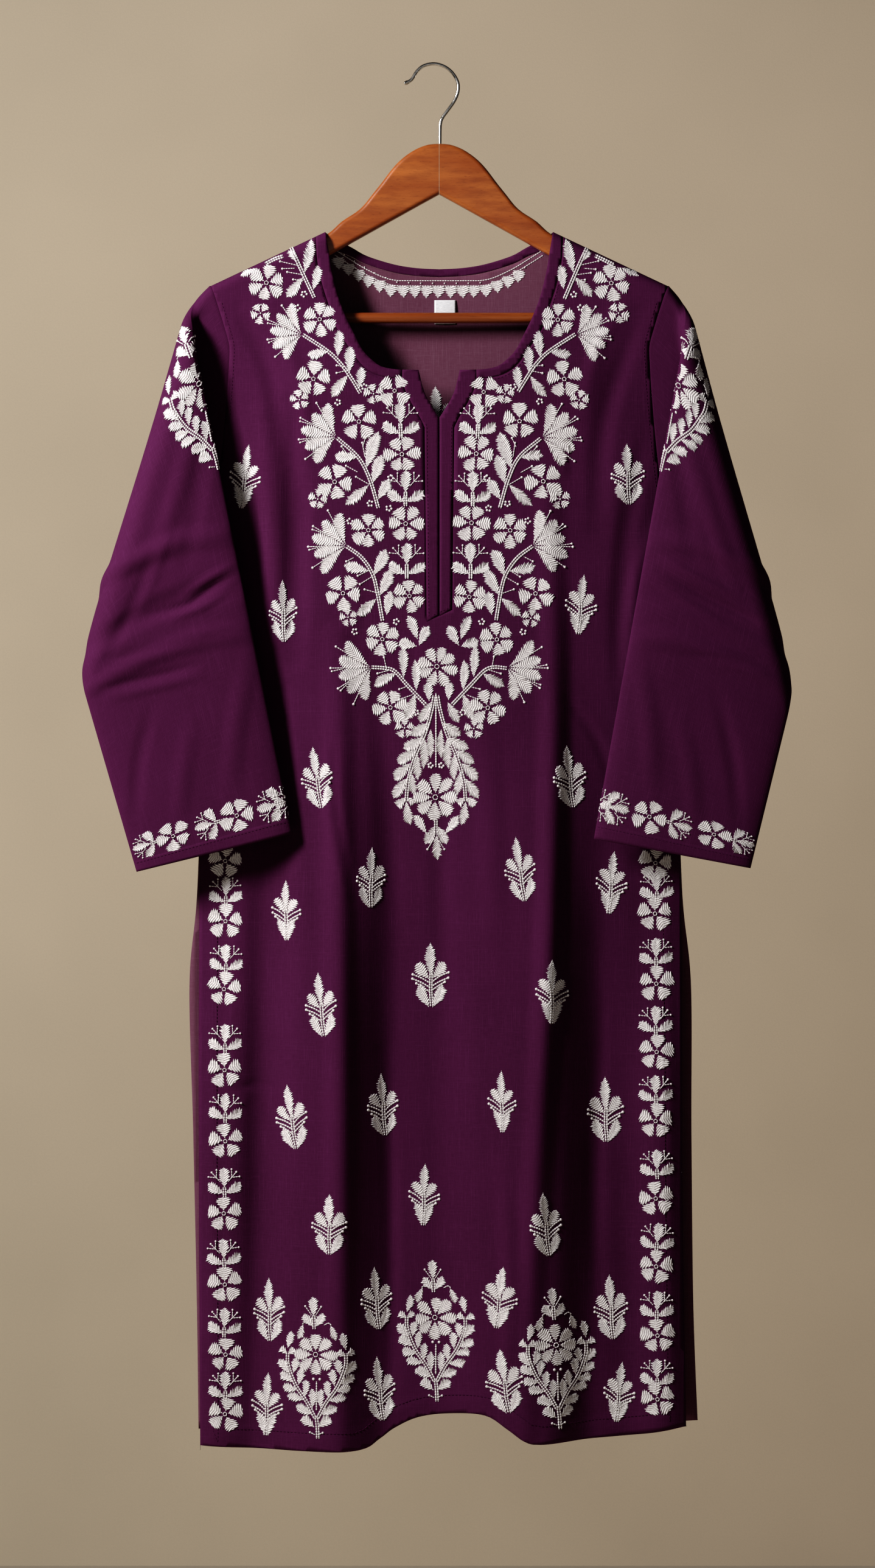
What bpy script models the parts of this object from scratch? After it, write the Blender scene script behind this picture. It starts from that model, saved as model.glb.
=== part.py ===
"""Kurta tunic on a wooden hanger, for Blender 4.5.

A straight cotton tunic with a notched round neck, long sleeves and side slits hangs on a flat
wooden hanger. Each sleeve is a plain tapered tube that has folded forward along a slanted line.

Metres, +Z up, front towards -Y. The origin is the inner top of the hanger's hook. Cloth is laid
out in (u, z): u runs to the right from the garment's centre line, z is the height in the world.
"""
import math

import bmesh
import bpy
from mathutils import Vector, geometry

COLLECTION = "kurta_tunic_on_hanger"

# Cloth wall, and the room left at seams
WALL = 0.0012
BAND_RAISE = 0.0004
SEAM_GAP = 0.0003
SIDE_SEAM_DEPTH = 0.0015
SHOULDER_SEAM_DEPTH = 0.0006
BAND_SEAM_GAP = 0.0007
SLEEVE_SEAM_GAP = 0.0005

# Garment sizes, half widths from the centre line
CENTRE_X = 0.0045
NECK_HALF = 0.1076
NECK_POINT_Z = -0.1575
SHOULDER_HALF = 0.2159
SHOULDER_TIP_Z = -0.2085
UNDERARM_HALF = 0.2193
UNDERARM_Z = -0.4635
SLIT_TOP_Z = -0.800
SHOULDER_SLOPE = (NECK_POINT_Z - SHOULDER_TIP_Z) / (SHOULDER_HALF - NECK_HALF)

# How far the hung cloth stands out from the plane of the hanger
OVER_ARM_DEPTH = 0.0100
FRONT_DEPTH = 0.0200
BACK_DEPTH = 0.0160
DEPTH_RUN = 0.160
ARMHOLE_CLOSE_RUN = 0.090
SLIT_OPEN_RUN = 0.150
FRONT_SLIT_DEPTH = 0.0085
BACK_SLIT_DEPTH = 0.0060

# Outlines of the right half; columns: half width, z
FRONT_NECK_EDGE = (
    (NECK_HALF, NECK_POINT_Z), (0.1042, -0.1775), (0.1013, -0.1953), (0.0956, -0.2188),
    (0.0881, -0.2388), (0.0795, -0.2566), (0.0721, -0.2709), (0.0629, -0.2807),
    (0.0549, -0.2864), (0.0445, -0.2888), (0.0350, -0.2896),
)
FRONT_NECK_SEAM = (
    (0.1168, None), (0.1151, -0.1867), (0.1110, -0.2067), (0.1042, -0.2285),
    (0.0973, -0.2491), (0.0853, -0.2681), (0.0738, -0.2841), (0.0629, -0.2925),
    (0.0497, -0.2967), (0.0350, -0.2978),
)
NOTCH_EDGE = (
    (0.0194, -0.2898), (0.0154, -0.3064), (0.0113, -0.3167), (0.0062, -0.3253), (0.0003, -0.3345),
)
NOTCH_SEAM = ((0.0350, -0.2978), (0.0325, -0.3080), (0.0260, -0.3215), (0.0175, -0.3360))
PLACKET_HALF_TOP = 0.0138
PLACKET_HALF_FOOT = 0.0120
PLACKET_TOP_Z = -0.3440
PLACKET_FOOT_Z = -0.5210
PLACKET_FOOT_SLANT = 0.0055
BACK_NECK_EDGE = (
    (NECK_HALF, NECK_POINT_Z), (0.0950, -0.1648), (0.0824, -0.1712), (0.0681, -0.1790),
    (0.0429, -0.1867), (0.0211, -0.1901), (0.0, -0.1911),
)
BACK_NECK_SEAM = (
    (0.1168, None), (0.0980, -0.1735), (0.0842, -0.1794), (0.0697, -0.1866),
    (0.0440, -0.1944), (0.0216, -0.1977), (0.0, -0.1987),
)
ARMHOLE = (
    (SHOULDER_HALF, SHOULDER_TIP_Z), (0.2119, -0.2188), (0.2022, -0.2503), (0.1981, -0.2669),
    (0.1987, -0.2853), (0.1999, -0.3059), (0.2039, -0.3540), (0.2107, -0.4110),
    (UNDERARM_HALF, UNDERARM_Z),
)
ARMHOLE_HEIGHTS = tuple((z, half) for half, z in ARMHOLE)

# Side edges below the underarm; columns: z, half width left, half width right
FRONT_SIDE = (
    (UNDERARM_Z, UNDERARM_HALF, UNDERARM_HALF), (-0.6200, 0.2240, 0.2250),
    (-0.7800, 0.2268, 0.2285), (-1.0500, 0.2268, 0.2293), (-1.2850, 0.2255, 0.2330),
)
BACK_SIDE = (
    (UNDERARM_Z, UNDERARM_HALF, UNDERARM_HALF), (-0.6200, 0.2240, 0.2250),
    (-0.7800, 0.2290, 0.2300), (-0.8700, 0.2365, 0.2385), (-1.0100, 0.2331, 0.2391),
    (-1.1700, 0.2297, 0.2408), (-1.2800, 0.2282, 0.2448),
)

# Hems, left to right; columns: u, z
FRONT_HEM = (
    (-0.2255, -1.3030), (-0.1900, -1.3045), (-0.1300, -1.3060), (-0.0750, -1.3050),
    (-0.0560, -1.2955), (-0.0420, -1.2855), (-0.0200, -1.2755), (0.0100, -1.2715),
    (0.0430, -1.2725), (0.0640, -1.2850), (0.0800, -1.2960), (0.0950, -1.2990),
    (0.1370, -1.2960), (0.1930, -1.2915), (0.2335, -1.2850),
)
BACK_HEM = (
    (-0.2280, -1.2900), (-0.1500, -1.2950), (-0.0500, -1.2840), (0.0000, -1.2780),
    (0.0500, -1.2790), (0.1500, -1.2880), (0.2450, -1.2820),
)

# Large hanging folds; columns: u at their top, u at the hem, width left, width right, height,
# z where the fold begins, z where it has its full height
FRONT_FOLDS = (
    (-0.080, -0.093, 0.088, 0.048, 0.0150, -0.50, -0.90),
    (0.112, 0.096, 0.110, 0.052, 0.0170, -0.56, -0.98),
    (-0.208, -0.212, 0.030, 0.036, 0.0050, -0.80, -1.05),
    (0.205, 0.214, 0.042, 0.030, 0.0060, -0.78, -1.00),
)
BACK_FOLDS = (
    (-0.120, -0.110, 0.060, 0.090, 0.0140, -0.45, -0.92),
    (0.030, 0.020, 0.050, 0.075, 0.0110, -0.60, -1.05),
    (0.140, 0.150, 0.070, 0.050, 0.0130, -0.48, -0.95),
)

# Sleeves, laid out flat and then folded forward; one row each. Angles are from straight down,
# the top edge and the fold outwards, the cuff inwards from its top corner.
# Columns: name, side, fold angle, fold start half width, fold start z, top edge length,
# top edge angle, cuff width, cuff angle
SLEEVES = (
    ("sleeve_left", -1, 17.3, 0.2147, -0.2341, 0.5370, 46.0, 0.1505, 41.6),
    ("sleeve_right", 1, 16.3, 0.2126, -0.2338, 0.5387, 42.9, 0.1498, 46.8),
)
SLEEVE_HALF_DEPTH = 0.0060
SLEEVE_FOLD_RADIUS = 0.0150
SLEEVE_CAP_RUN = 0.25
SLEEVE_FOLD_RUN = 0.10
SLEEVE_RINGS = 24
SLEEVE_RING_CROWDING = 1.15
SLEEVE_SEAM_STEP = 0.004
SLEEVE_TOP_GAP = 1.6
SLEEVE_WIDTH_STEPS = (0.0, 0.015, 0.06, 0.14, 0.25, 0.37, 0.50, 0.63, 0.75, 0.86, 0.94, 0.985, 1.0)

# Elbow creases across the sleeves; columns: share of the length at the top edge, the same at
# the underarm edge, half width as a share of the length, height
SLEEVE_CREASES = (
    (0.470, 0.300, 0.030, 0.0032),
    (0.560, 0.430, 0.034, -0.0026),
    (0.640, 0.520, 0.030, 0.0028),
)

# Size label inside the back neck
LABEL_LEFT = -0.0045
LABEL_WIDTH = 0.0201
LABEL_TOP_Z = -0.2205
LABEL_HEIGHT = 0.0225
LABEL_STEPS = 4
LABEL_WALL = 0.0010
LABEL_CLEARANCE = 0.0009

# Hanger; arm outlines of the right half in (distance from the centre, z)
HANGER_THICKNESS = 0.0115
HANGER_EDGE_ROUND = 0.0052
HANGER_ROUND_STEPS = 3
ARM_TOP_STEP = 0.012
ARM_END_STEP = 0.006
HANGER_JOINT_GAP = 0.0003
CLOTH_OVER_WOOD = 0.0030
ARM_VISIBLE_TOP = (
    (0.0, -0.0743), (0.0101, -0.0750), (0.0222, -0.0795), (0.0342, -0.0876), (0.0439, -0.0973),
    (0.0548, -0.1116), (0.0629, -0.1217), (0.0715, -0.1326), (0.0789, -0.1391), (0.0921, -0.1477),
)
ARM_COVERED_TOP = (0.1060, 0.1300, 0.1600, 0.1900, 0.2000)
ARM_END = (
    (0.2055, -0.2082), (0.2080, -0.2140), (0.2085, -0.2300), (0.2070, -0.2420),
    (0.2025, -0.2480), (0.1960, -0.2488), (0.1915, -0.2460), (0.1903, -0.2400),
)
ARM_UNDERSIDE = ((0.1903, -0.2280), (0.0617, -0.1563), (0.0153, -0.1305), (0.0, -0.1222))
BAR_RADIUS = 0.0051
BAR_Z = -0.2388
BAR_HALF_LENGTH = 0.1900
BAR_SIDES = 20

# Hook wire; columns: x, z along its middle line, from the tip to the wood
WIRE_RADIUS = 0.0016
TIP_BALL_RADIUS = 0.0024
TIP_CAP_REACH = 0.75
TIP_CAP_WIDTH = 0.62
HOOK_LINE = (
    (-0.0285, -0.0172), (-0.0219, -0.0136), (-0.0165, -0.0054), (-0.0099, -0.0002),
    (0.0, 0.0016), (0.0099, -0.0013), (0.0175, -0.0076), (0.0222, -0.0164),
    (0.0222, -0.0251), (0.0186, -0.0339), (0.0120, -0.0433), (0.0077, -0.0493),
    (0.0056, -0.0559), (0.0052, -0.0740),
)

# Mesh spacing; columns are u and z steps of the points inside a panel
FRONT_GRID = (0.0145, 0.040)
BACK_GRID = (0.0145, 0.054)
BAND_GRID = (0.0300, 0.060)
GRID_STRETCH = 0.36
GRID_HALF_WIDTH = 0.25
GRID_CLEARANCE = 0.30
FIRST_ROW_SHARE = 0.35
EDGE_STEP = 0.014
ARMHOLE_STEP = 0.0224
BACK_HEM_STEP = 0.021
NOTCH_STEP = 0.0084
SIDE_STEP = 0.036
PLACKET_STEPS = 6
HOOK_STEP = 0.0035
HOOK_SIDES = 10
ROLL_DROPS = (0.0008, 0.0026, 0.0055, 0.0092)
ROLL_CLEARANCE = 0.0007
ROLL_END_SPACING = 1.6
ROLL_MARGIN = 0.05
NECK_ROLL_COLUMNS = (0.1020, 0.1055, 0.1090, 0.1125, 0.1195, 0.1245)


def smooth(value):
    """Ease from 0 to 1."""
    value = max(0.0, min(1.0, value))
    return value * value * (3.0 - 2.0 * value)


def table_at(table, key, column):
    """Read one column of a table whose first column falls, in a straight line between rows."""
    if key >= table[0][0]:
        return table[0][column]
    for upper, lower in zip(table, table[1:]):
        if key >= lower[0]:
            share = (upper[0] - key) / (upper[0] - lower[0])
            return upper[column] + (lower[column] - upper[column]) * share
    return table[-1][column]


def spline(points, step):
    """Points about one step apart along a smooth curve through the given points."""
    points = [Vector(p) for p in points]
    ends = [2 * points[0] - points[1]] + points + [2 * points[-1] - points[-2]]
    result = [points[0]]
    for before, start, end, after in zip(ends, ends[1:], ends[2:], ends[3:]):
        count = max(1, round((end - start).length / step))
        for index in range(1, count + 1):
            t = index / count
            result.append(0.5 * (
                2 * start + (end - before) * t
                + (2 * before - 5 * start + 4 * end - after) * t ** 2
                + (3 * start - before - 3 * end + after) * t ** 3
            ))
    return result


def along(points, distance):
    """The point at a distance along a polyline."""
    for start, end in zip(points, points[1:]):
        length = (end - start).length
        if distance <= length:
            return start.lerp(end, distance / length)
        distance -= length
    return points[-1].copy()


def polyline_length(points):
    return sum((end - start).length for start, end in zip(points, points[1:]))


def with_roll_points(points):
    """Add points just below the shoulder line, where the cloth rolls over the arm."""
    near = [along(points, drop) for drop in ROLL_DROPS]
    far = [p for p in points[1:] if (p - points[0]).length > ROLL_DROPS[-1] * ROLL_END_SPACING]
    return [points[0]] + near + far


def offset_line(points, distance):
    """Move a polyline sideways, to the left of its own direction."""
    moved = []
    for index, point in enumerate(points):
        before = points[max(0, index - 1)]
        after = points[min(len(points) - 1, index + 1)]
        tangent = (after - before).normalized()
        moved.append(point + distance * Vector((-tangent.y, tangent.x)))
    return moved


def mirrored(points):
    return [Vector((-p.x, p.y)) for p in points]


def shoulder_z(half):
    """Height of the shoulder line, run on straight to the centre line."""
    return NECK_POINT_Z - SHOULDER_SLOPE * (half - NECK_HALF)


def on_shoulder(table):
    """Fill in the heights of table points that lie on the shoulder line."""
    return [(half, shoulder_z(half) if z is None else z) for half, z in table]


def panel_half(side_table, u, z):
    """Half width of a panel at a height, on the side of u."""
    if z > SHOULDER_TIP_Z:
        return SHOULDER_HALF
    if z > UNDERARM_Z:
        return table_at(ARMHOLE_HEIGHTS, z, 1)
    return table_at(side_table, z, 1 if u < 0.0 else 2)


def edge_depth(z, slit_depth):
    """Depth of a panel at its armhole, side seam or slit edge."""
    if z > UNDERARM_Z:
        rise = smooth((z - UNDERARM_Z) / ARMHOLE_CLOSE_RUN)
        return SIDE_SEAM_DEPTH + (OVER_ARM_DEPTH - SIDE_SEAM_DEPTH) * rise
    opened = smooth((SLIT_TOP_Z - z) / SLIT_OPEN_RUN)
    return SIDE_SEAM_DEPTH + (slit_depth - SIDE_SEAM_DEPTH) * opened


def fold_height(folds, u, z):
    """Sum of the hanging folds at a point."""
    height = 0.0
    hem_z = FRONT_HEM[0][1]
    for top_u, hem_u, left, right, full, start_z, full_z in folds:
        crest = top_u + (hem_u - top_u) * (start_z - z) / (start_z - hem_z)
        reach = (u - crest) / (left if u < crest else right)
        if abs(reach) < 1.0:
            grown = smooth((start_z - z) / (start_z - full_z))
            height += full * grown * 0.5 * (1.0 + math.cos(math.pi * reach))
    return height


def cloth_depth(u, z, side_table, full_depth, slit_depth, folds):
    """How far a panel's outer face stands out from the hanger's plane."""
    drop = max(0.0, shoulder_z(abs(u)) - z)
    edge = edge_depth(z, slit_depth)
    middle = OVER_ARM_DEPTH + (full_depth - OVER_ARM_DEPTH) * smooth(drop / DEPTH_RUN)
    across = min(1.0, abs(u) / panel_half(side_table, u, z))
    depth = edge + (middle - edge) * (1.0 - across ** 3)
    slit = smooth((SLIT_TOP_Z - z) / SLIT_OPEN_RUN)
    depth += fold_height(folds, u, z) * (1.0 - (1.0 - slit) * across ** 6)
    roll = min(1.0, drop / OVER_ARM_DEPTH)
    rolled = math.sqrt(1.0 - (1.0 - roll) ** 2)
    return SHOULDER_SEAM_DEPTH + (depth - SHOULDER_SEAM_DEPTH) * rolled


def front_depth(u, z):
    return cloth_depth(u, z, FRONT_SIDE, FRONT_DEPTH, FRONT_SLIT_DEPTH, FRONT_FOLDS)


def back_depth(u, z):
    return cloth_depth(u, z, BACK_SIDE, BACK_DEPTH, BACK_SLIT_DEPTH, BACK_FOLDS)


def front_point(u, z, out=0.0):
    return Vector((CENTRE_X + u, -front_depth(u, z) - out, z))


def back_point(u, z, out=0.0):
    return Vector((CENTRE_X + u, back_depth(u, z) + out, z))


def inside(outline, point):
    """Whether a point lies within a closed outline."""
    within = False
    for start, end in zip(outline, outline[1:] + outline[:1]):
        if (start.y > point.y) != (end.y > point.y):
            crossing = start.x + (point.y - start.y) * (end.x - start.x) / (end.y - start.y)
            if point.x < crossing:
                within = not within
    return within


def edge_clearance(outline, point):
    """Distance from a point to an outline, with heights drawn in as the mesh stretches."""
    nearest = 1.0
    flat = Vector((point.x, point.y * GRID_STRETCH))
    for start, end in zip(outline, outline[1:] + outline[:1]):
        first = Vector((start.x, start.y * GRID_STRETCH))
        second = Vector((end.x, end.y * GRID_STRETCH))
        foot, share = geometry.intersect_point_line(flat, first, second)
        closest = first.lerp(second, max(0.0, min(1.0, share)))
        nearest = min(nearest, (flat - closest.to_2d()).length)
    return nearest


def inner_points(outline, grid):
    """Points inside an outline: a grid, and rows close below the shoulder line."""
    step_u, step_z = grid
    found = []
    lowest = min(p.y for p in outline)
    reach = math.ceil(GRID_HALF_WIDTH / step_u)
    columns = range(-reach, reach + 1)
    for column in columns:
        u = column * step_u
        for drop in ROLL_DROPS:
            found.append(Vector((u, shoulder_z(abs(u)) - drop)))
        z = shoulder_z(abs(u)) - ROLL_DROPS[-1] - FIRST_ROW_SHARE * step_z
        while z > lowest:
            found.append(Vector((u, z)))
            z -= step_z
    kept = [p for p in found if inside(outline, p)]
    roomy = [p for p in kept if edge_clearance(outline, p) > GRID_CLEARANCE * step_u]
    in_roll = [
        p for p in kept
        if shoulder_z(abs(p.x)) - p.y < ROLL_DROPS[-1] * (1.0 + ROLL_MARGIN)
        and NECK_HALF + step_u < abs(p.x) < SHOULDER_HALF - step_u / 2.0
    ]
    for side in (-1, 1):
        for half in NECK_ROLL_COLUMNS:
            column = [Vector((side * half, shoulder_z(half) - drop)) for drop in ROLL_DROPS]
            in_roll += [
                p for p in column
                if inside(outline, p) and edge_clearance(outline, p) > ROLL_CLEARANCE
            ]
    return roomy + [p for p in in_roll if p not in roomy]


def material(name, colour, roughness, metallic=0.0):
    """A plain finish in the part's own colour."""
    made = bpy.data.materials.get(name) or bpy.data.materials.new(name)
    made.use_nodes = True
    shader = made.node_tree.nodes["Principled BSDF"]
    shader.inputs["Base Color"].default_value = (*colour, 1.0)
    shader.inputs["Roughness"].default_value = roughness
    shader.inputs["Metallic"].default_value = metallic
    return made


def plum_cotton():
    return material("plum_cotton", (0.075, 0.012, 0.045), 0.85)


def white_cotton():
    return material("white_cotton", (0.75, 0.74, 0.70), 0.80)


def varnished_wood():
    return material("varnished_wood", (0.34, 0.10, 0.028), 0.38)


def polished_steel():
    return material("polished_steel", (0.62, 0.60, 0.57), 0.22, 1.0)


def add_object(name, mesh, finish):
    """Link a mesh into the object's own collection."""
    made = bpy.data.objects.new(name, mesh)
    bpy.data.collections[COLLECTION].objects.link(made)
    mesh.materials.append(finish)
    for polygon in mesh.polygons:
        polygon.use_smooth = True
    return made


def thicken(target, wall):
    """Grow a cloth wall inwards from its outer face."""
    shell = target.modifiers.new("wall", "SOLIDIFY")
    shell.thickness = wall
    shell.offset = -1.0


def cloth_piece(name, outline, grid, place, wall, finish, outward):
    """A flat cut piece, filled with triangles and laid on the surface that place gives."""
    points = outline + inner_points(outline, grid)
    count = len(outline)
    edges = [(index, (index + 1) % count) for index in range(count)]
    flat = [Vector((p.x, p.y * GRID_STRETCH)) for p in points]
    verts, _, faces, *_ = geometry.delaunay_2d_cdt(flat, edges, [], 1, 1e-7)
    shell = bmesh.new()
    made = [shell.verts.new(place(v.x, v.y / GRID_STRETCH)) for v in verts]
    for face in faces:
        shell.faces.new([made[index] for index in face])
    shell.normal_update()
    turn = sum((face.normal.y * face.calc_area() for face in shell.faces), 0.0)
    if turn * outward < 0.0:
        bmesh.ops.reverse_faces(shell, faces=shell.faces)
    mesh = bpy.data.meshes.new(name)
    shell.to_mesh(mesh)
    shell.free()
    target = add_object(name, mesh, finish)
    thicken(target, wall)
    return target


def side_edge(side_table, side, hem_corner):
    """One side edge from the underarm down to its hem corner."""
    column = 1 if side < 0 else 2
    rows = [Vector((side * row[column], row[0])) for row in side_table]
    return spline(rows + [Vector(hem_corner)], SIDE_STEP)


def half_top(neck_seam, side, step_u):
    """Neck seam, shoulder and armhole of one half, from the neck outwards and down."""
    seam = with_roll_points(spline([Vector(p) for p in on_shoulder(neck_seam)], EDGE_STEP))
    armhole = with_roll_points(spline([Vector(p) for p in ARMHOLE], ARMHOLE_STEP))
    first = math.ceil((seam[0].x + GRID_CLEARANCE * step_u) / step_u)
    last = math.floor((SHOULDER_HALF - GRID_CLEARANCE * step_u) / step_u)
    shoulder = []
    for column in range(first, last + 1):
        shoulder.append(Vector((column * step_u, shoulder_z(column * step_u))))
    path = seam[::-1] + shoulder + armhole
    return path if side > 0 else mirrored(path)


def straight_line(start, end, steps):
    """Evenly spaced points after the start, up to the end."""
    return [start.lerp(end, index / steps) for index in range(1, steps + 1)]


def placket_line(side):
    """Outer edge of a placket strip from the notch down, drawn on the right half.

    The strip's foot slants, so it ends lower on the left side than on the right.
    """
    rows = [Vector(p) for p in NOTCH_SEAM]
    rows.append(Vector((PLACKET_HALF_TOP, PLACKET_TOP_Z)))
    foot = Vector((PLACKET_HALF_FOOT, PLACKET_FOOT_Z + side * PLACKET_FOOT_SLANT))
    return rows + straight_line(rows[-1], foot, PLACKET_STEPS)


def make_front_panel():
    """The front, cut out round the neck band and the placket strips."""
    hem = spline([Vector(p) for p in FRONT_HEM], EDGE_STEP)
    right = half_top(FRONT_NECK_SEAM, 1, FRONT_GRID[0])
    left = half_top(FRONT_NECK_SEAM, -1, FRONT_GRID[0])
    right_side = side_edge(FRONT_SIDE, 1, FRONT_HEM[-1])
    left_side = side_edge(FRONT_SIDE, -1, FRONT_HEM[0])
    outline = hem[:-1] + right_side[::-1][:-1] + right[::-1][:-1]
    outline += placket_line(1) + mirrored(placket_line(-1))[::-1]
    outline += left[1:-1] + left_side[:-1]
    return cloth_piece(
        "front_panel", outline, FRONT_GRID, front_point, WALL, plum_cotton(), -1.0)


def make_back_panel():
    hem = spline([Vector(p) for p in BACK_HEM], BACK_HEM_STEP)
    right = half_top(BACK_NECK_SEAM, 1, BACK_GRID[0])
    left = half_top(BACK_NECK_SEAM, -1, BACK_GRID[0])
    right_side = side_edge(BACK_SIDE, 1, BACK_HEM[-1])
    left_side = side_edge(BACK_SIDE, -1, BACK_HEM[0])
    outline = hem[:-1] + right_side[::-1][:-1] + right[::-1][:-1]
    outline += left[:-1] + left_side[:-1]
    return cloth_piece(
        "back_panel", outline, BACK_GRID, back_point, WALL, plum_cotton(), 1.0)


def band_place(place):
    """The panel's own surface, moved out by the band's extra thickness."""
    def placed(u, z):
        return place(u, z, BAND_RAISE)
    return placed


def make_front_neck_band(side):
    """Bound edge of the front neck, from the shoulder seam to the notch."""
    edge = with_roll_points(spline([Vector(p) for p in FRONT_NECK_EDGE], EDGE_STEP))
    seam = with_roll_points(
        spline([Vector(p) for p in on_shoulder(FRONT_NECK_SEAM)], EDGE_STEP))
    seam = offset_line(seam, -BAND_SEAM_GAP)
    seam[0].y = shoulder_z(seam[0].x)
    seam[-1].x = edge[-1].x
    outline = edge + seam[::-1]
    if side < 0:
        outline = mirrored(outline)
    name = "neck_band_front_left" if side < 0 else "neck_band_front_right"
    return cloth_piece(
        name, outline, BAND_GRID, band_place(front_point), WALL + BAND_RAISE, plum_cotton(), -1.0)


def make_back_neck_band():
    edge = with_roll_points(spline([Vector(p) for p in BACK_NECK_EDGE], EDGE_STEP))
    seam = with_roll_points(
        spline([Vector(p) for p in on_shoulder(BACK_NECK_SEAM)], EDGE_STEP))
    seam = offset_line(seam, -BAND_SEAM_GAP)
    seam[0].y = shoulder_z(seam[0].x)
    seam[-1].x = 0.0
    outline = edge + mirrored(edge[:-1])[::-1] + mirrored(seam[:-1]) + seam[::-1]
    return cloth_piece(
        "neck_band_back", outline, BAND_GRID, band_place(back_point), WALL + BAND_RAISE,
        plum_cotton(), 1.0)


def make_placket(side):
    """One placket strip, with its side of the neck notch."""
    notch = spline([Vector(p) for p in NOTCH_EDGE], NOTCH_STEP)
    outer = offset_line(placket_line(side), -SEAM_GAP)
    band_end, band_edge_z = FRONT_NECK_EDGE[-1]
    outer[0].x = band_end - SEAM_GAP
    corner = Vector((band_end - SEAM_GAP, band_edge_z))
    outer[-1].y += SEAM_GAP
    slit_foot = Vector((notch[-1].x, PLACKET_FOOT_Z + SEAM_GAP))
    slit = straight_line(notch[-1], slit_foot, PLACKET_STEPS)
    outline = notch + slit + outer[::-1] + [corner]
    if side < 0:
        outline = mirrored(outline)
    name = "placket_left" if side < 0 else "placket_right"
    return cloth_piece(
        name, outline, BAND_GRID, band_place(front_point), WALL + BAND_RAISE, plum_cotton(), -1.0)


class SleeveFold:
    """Rolls a flat sleeve forward over a slanted line. Half widths count outwards."""

    def __init__(self, angle, start_half, start_z):
        turned = math.radians(angle)
        self.down = Vector((math.sin(turned), -math.cos(turned)))
        self.out = Vector((math.cos(turned), math.sin(turned)))
        self.start = Vector((start_half, start_z))

    def place(self, flat, depth):
        """World (half width, y, z) of a flat point; depth is its distance behind the middle."""
        run = flat - self.start
        outward = run.dot(self.out)
        if outward <= 0.0:
            return Vector((flat.x, depth, flat.y))
        base = flat - self.out * outward
        radius = SLEEVE_FOLD_RADIUS
        half_turn = math.pi * radius
        if outward < half_turn:
            angle = outward / radius
            reach = (radius + depth) * math.sin(angle)
            y = -radius + (radius + depth) * math.cos(angle)
        else:
            reach = half_turn - outward
            y = -2.0 * radius - depth
        placed = base + self.out * reach
        return Vector((placed.x, y, placed.y))


def sleeve_crease(length_share, width_share):
    """Height of the elbow creases on the sleeve's visible layer."""
    height = 0.0
    for top, under, half, full in SLEEVE_CREASES:
        middle = top + (under - top) * width_share
        reach = (length_share - middle) / half
        if abs(reach) < 1.0:
            height += full * 0.5 * (1.0 + math.cos(math.pi * reach))
    return height * math.sin(math.pi * width_share) ** 0.5


def make_sleeve(name, side, angle, start_half, start_z, length, top_angle, cuff, cuff_angle):
    """A tapered tube from the armhole to the cuff, rolled forward over its fold line."""
    fold = SleeveFold(angle, start_half, start_z)
    armhole = spline([Vector(p) for p in ARMHOLE], SLEEVE_SEAM_STEP)
    armhole_length = polyline_length(armhole)
    top = math.radians(top_angle)
    inward = math.radians(cuff_angle)
    cuff_top = armhole[0] + length * Vector((math.sin(top), -math.cos(top)))
    cuff_foot = cuff_top + cuff * Vector((-math.sin(inward), -math.cos(inward)))

    def ring_point(along_share, width_share, back):
        start = along(armhole, armhole_length * width_share)
        gap = SLEEVE_SEAM_GAP * (1.0 + SLEEVE_TOP_GAP * (1.0 - width_share) ** 8)
        start = start + Vector((gap, 0.0))
        end = cuff_top.lerp(cuff_foot, width_share)
        flat = start.lerp(end, along_share)
        lens = math.sqrt(max(0.0, 1.0 - abs(2.0 * width_share - 1.0) ** 4))
        seam = 0.0
        if 0.0 < width_share < 1.0:
            seam = back_depth(start.x, start.y) if back else front_depth(start.x, start.y)
        joined = smooth(along_share / SLEEVE_CAP_RUN)
        depth = seam + (SLEEVE_HALF_DEPTH * lens - seam) * joined
        if back:
            depth += sleeve_crease(along_share, width_share)
        else:
            depth = -depth
        plain = Vector((flat.x, depth, flat.y))
        rolled = fold.place(flat, depth)
        placed = plain.lerp(rolled, smooth(along_share / SLEEVE_FOLD_RUN))
        return Vector((CENTRE_X + side * placed.x, placed.y, placed.z))

    shell = bmesh.new()
    rings = []
    for index in range(SLEEVE_RINGS + 1):
        share = (index / SLEEVE_RINGS) ** SLEEVE_RING_CROWDING
        front = [ring_point(share, w, False) for w in SLEEVE_WIDTH_STEPS]
        back = [ring_point(share, w, True) for w in SLEEVE_WIDTH_STEPS[-2:0:-1]]
        rings.append([shell.verts.new(p) for p in front + back])
    around = len(rings[0])
    front_count = len(SLEEVE_WIDTH_STEPS) - 1
    for near, far in zip(rings, rings[1:]):
        for index in range(around):
            following = (index + 1) % around
            if index < front_count:
                halves = (
                    (near[index], near[following], far[following]),
                    (near[index], far[following], far[index]),
                )
            else:
                halves = (
                    (near[index], near[following], far[index]),
                    (near[following], far[following], far[index]),
                )
            for corners in halves:
                shell.faces.new(corners if side > 0 else corners[::-1])
    mesh = bpy.data.meshes.new(name)
    shell.to_mesh(mesh)
    shell.free()
    target = add_object(name, mesh, plum_cotton())
    thicken(target, WALL)
    return target


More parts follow.
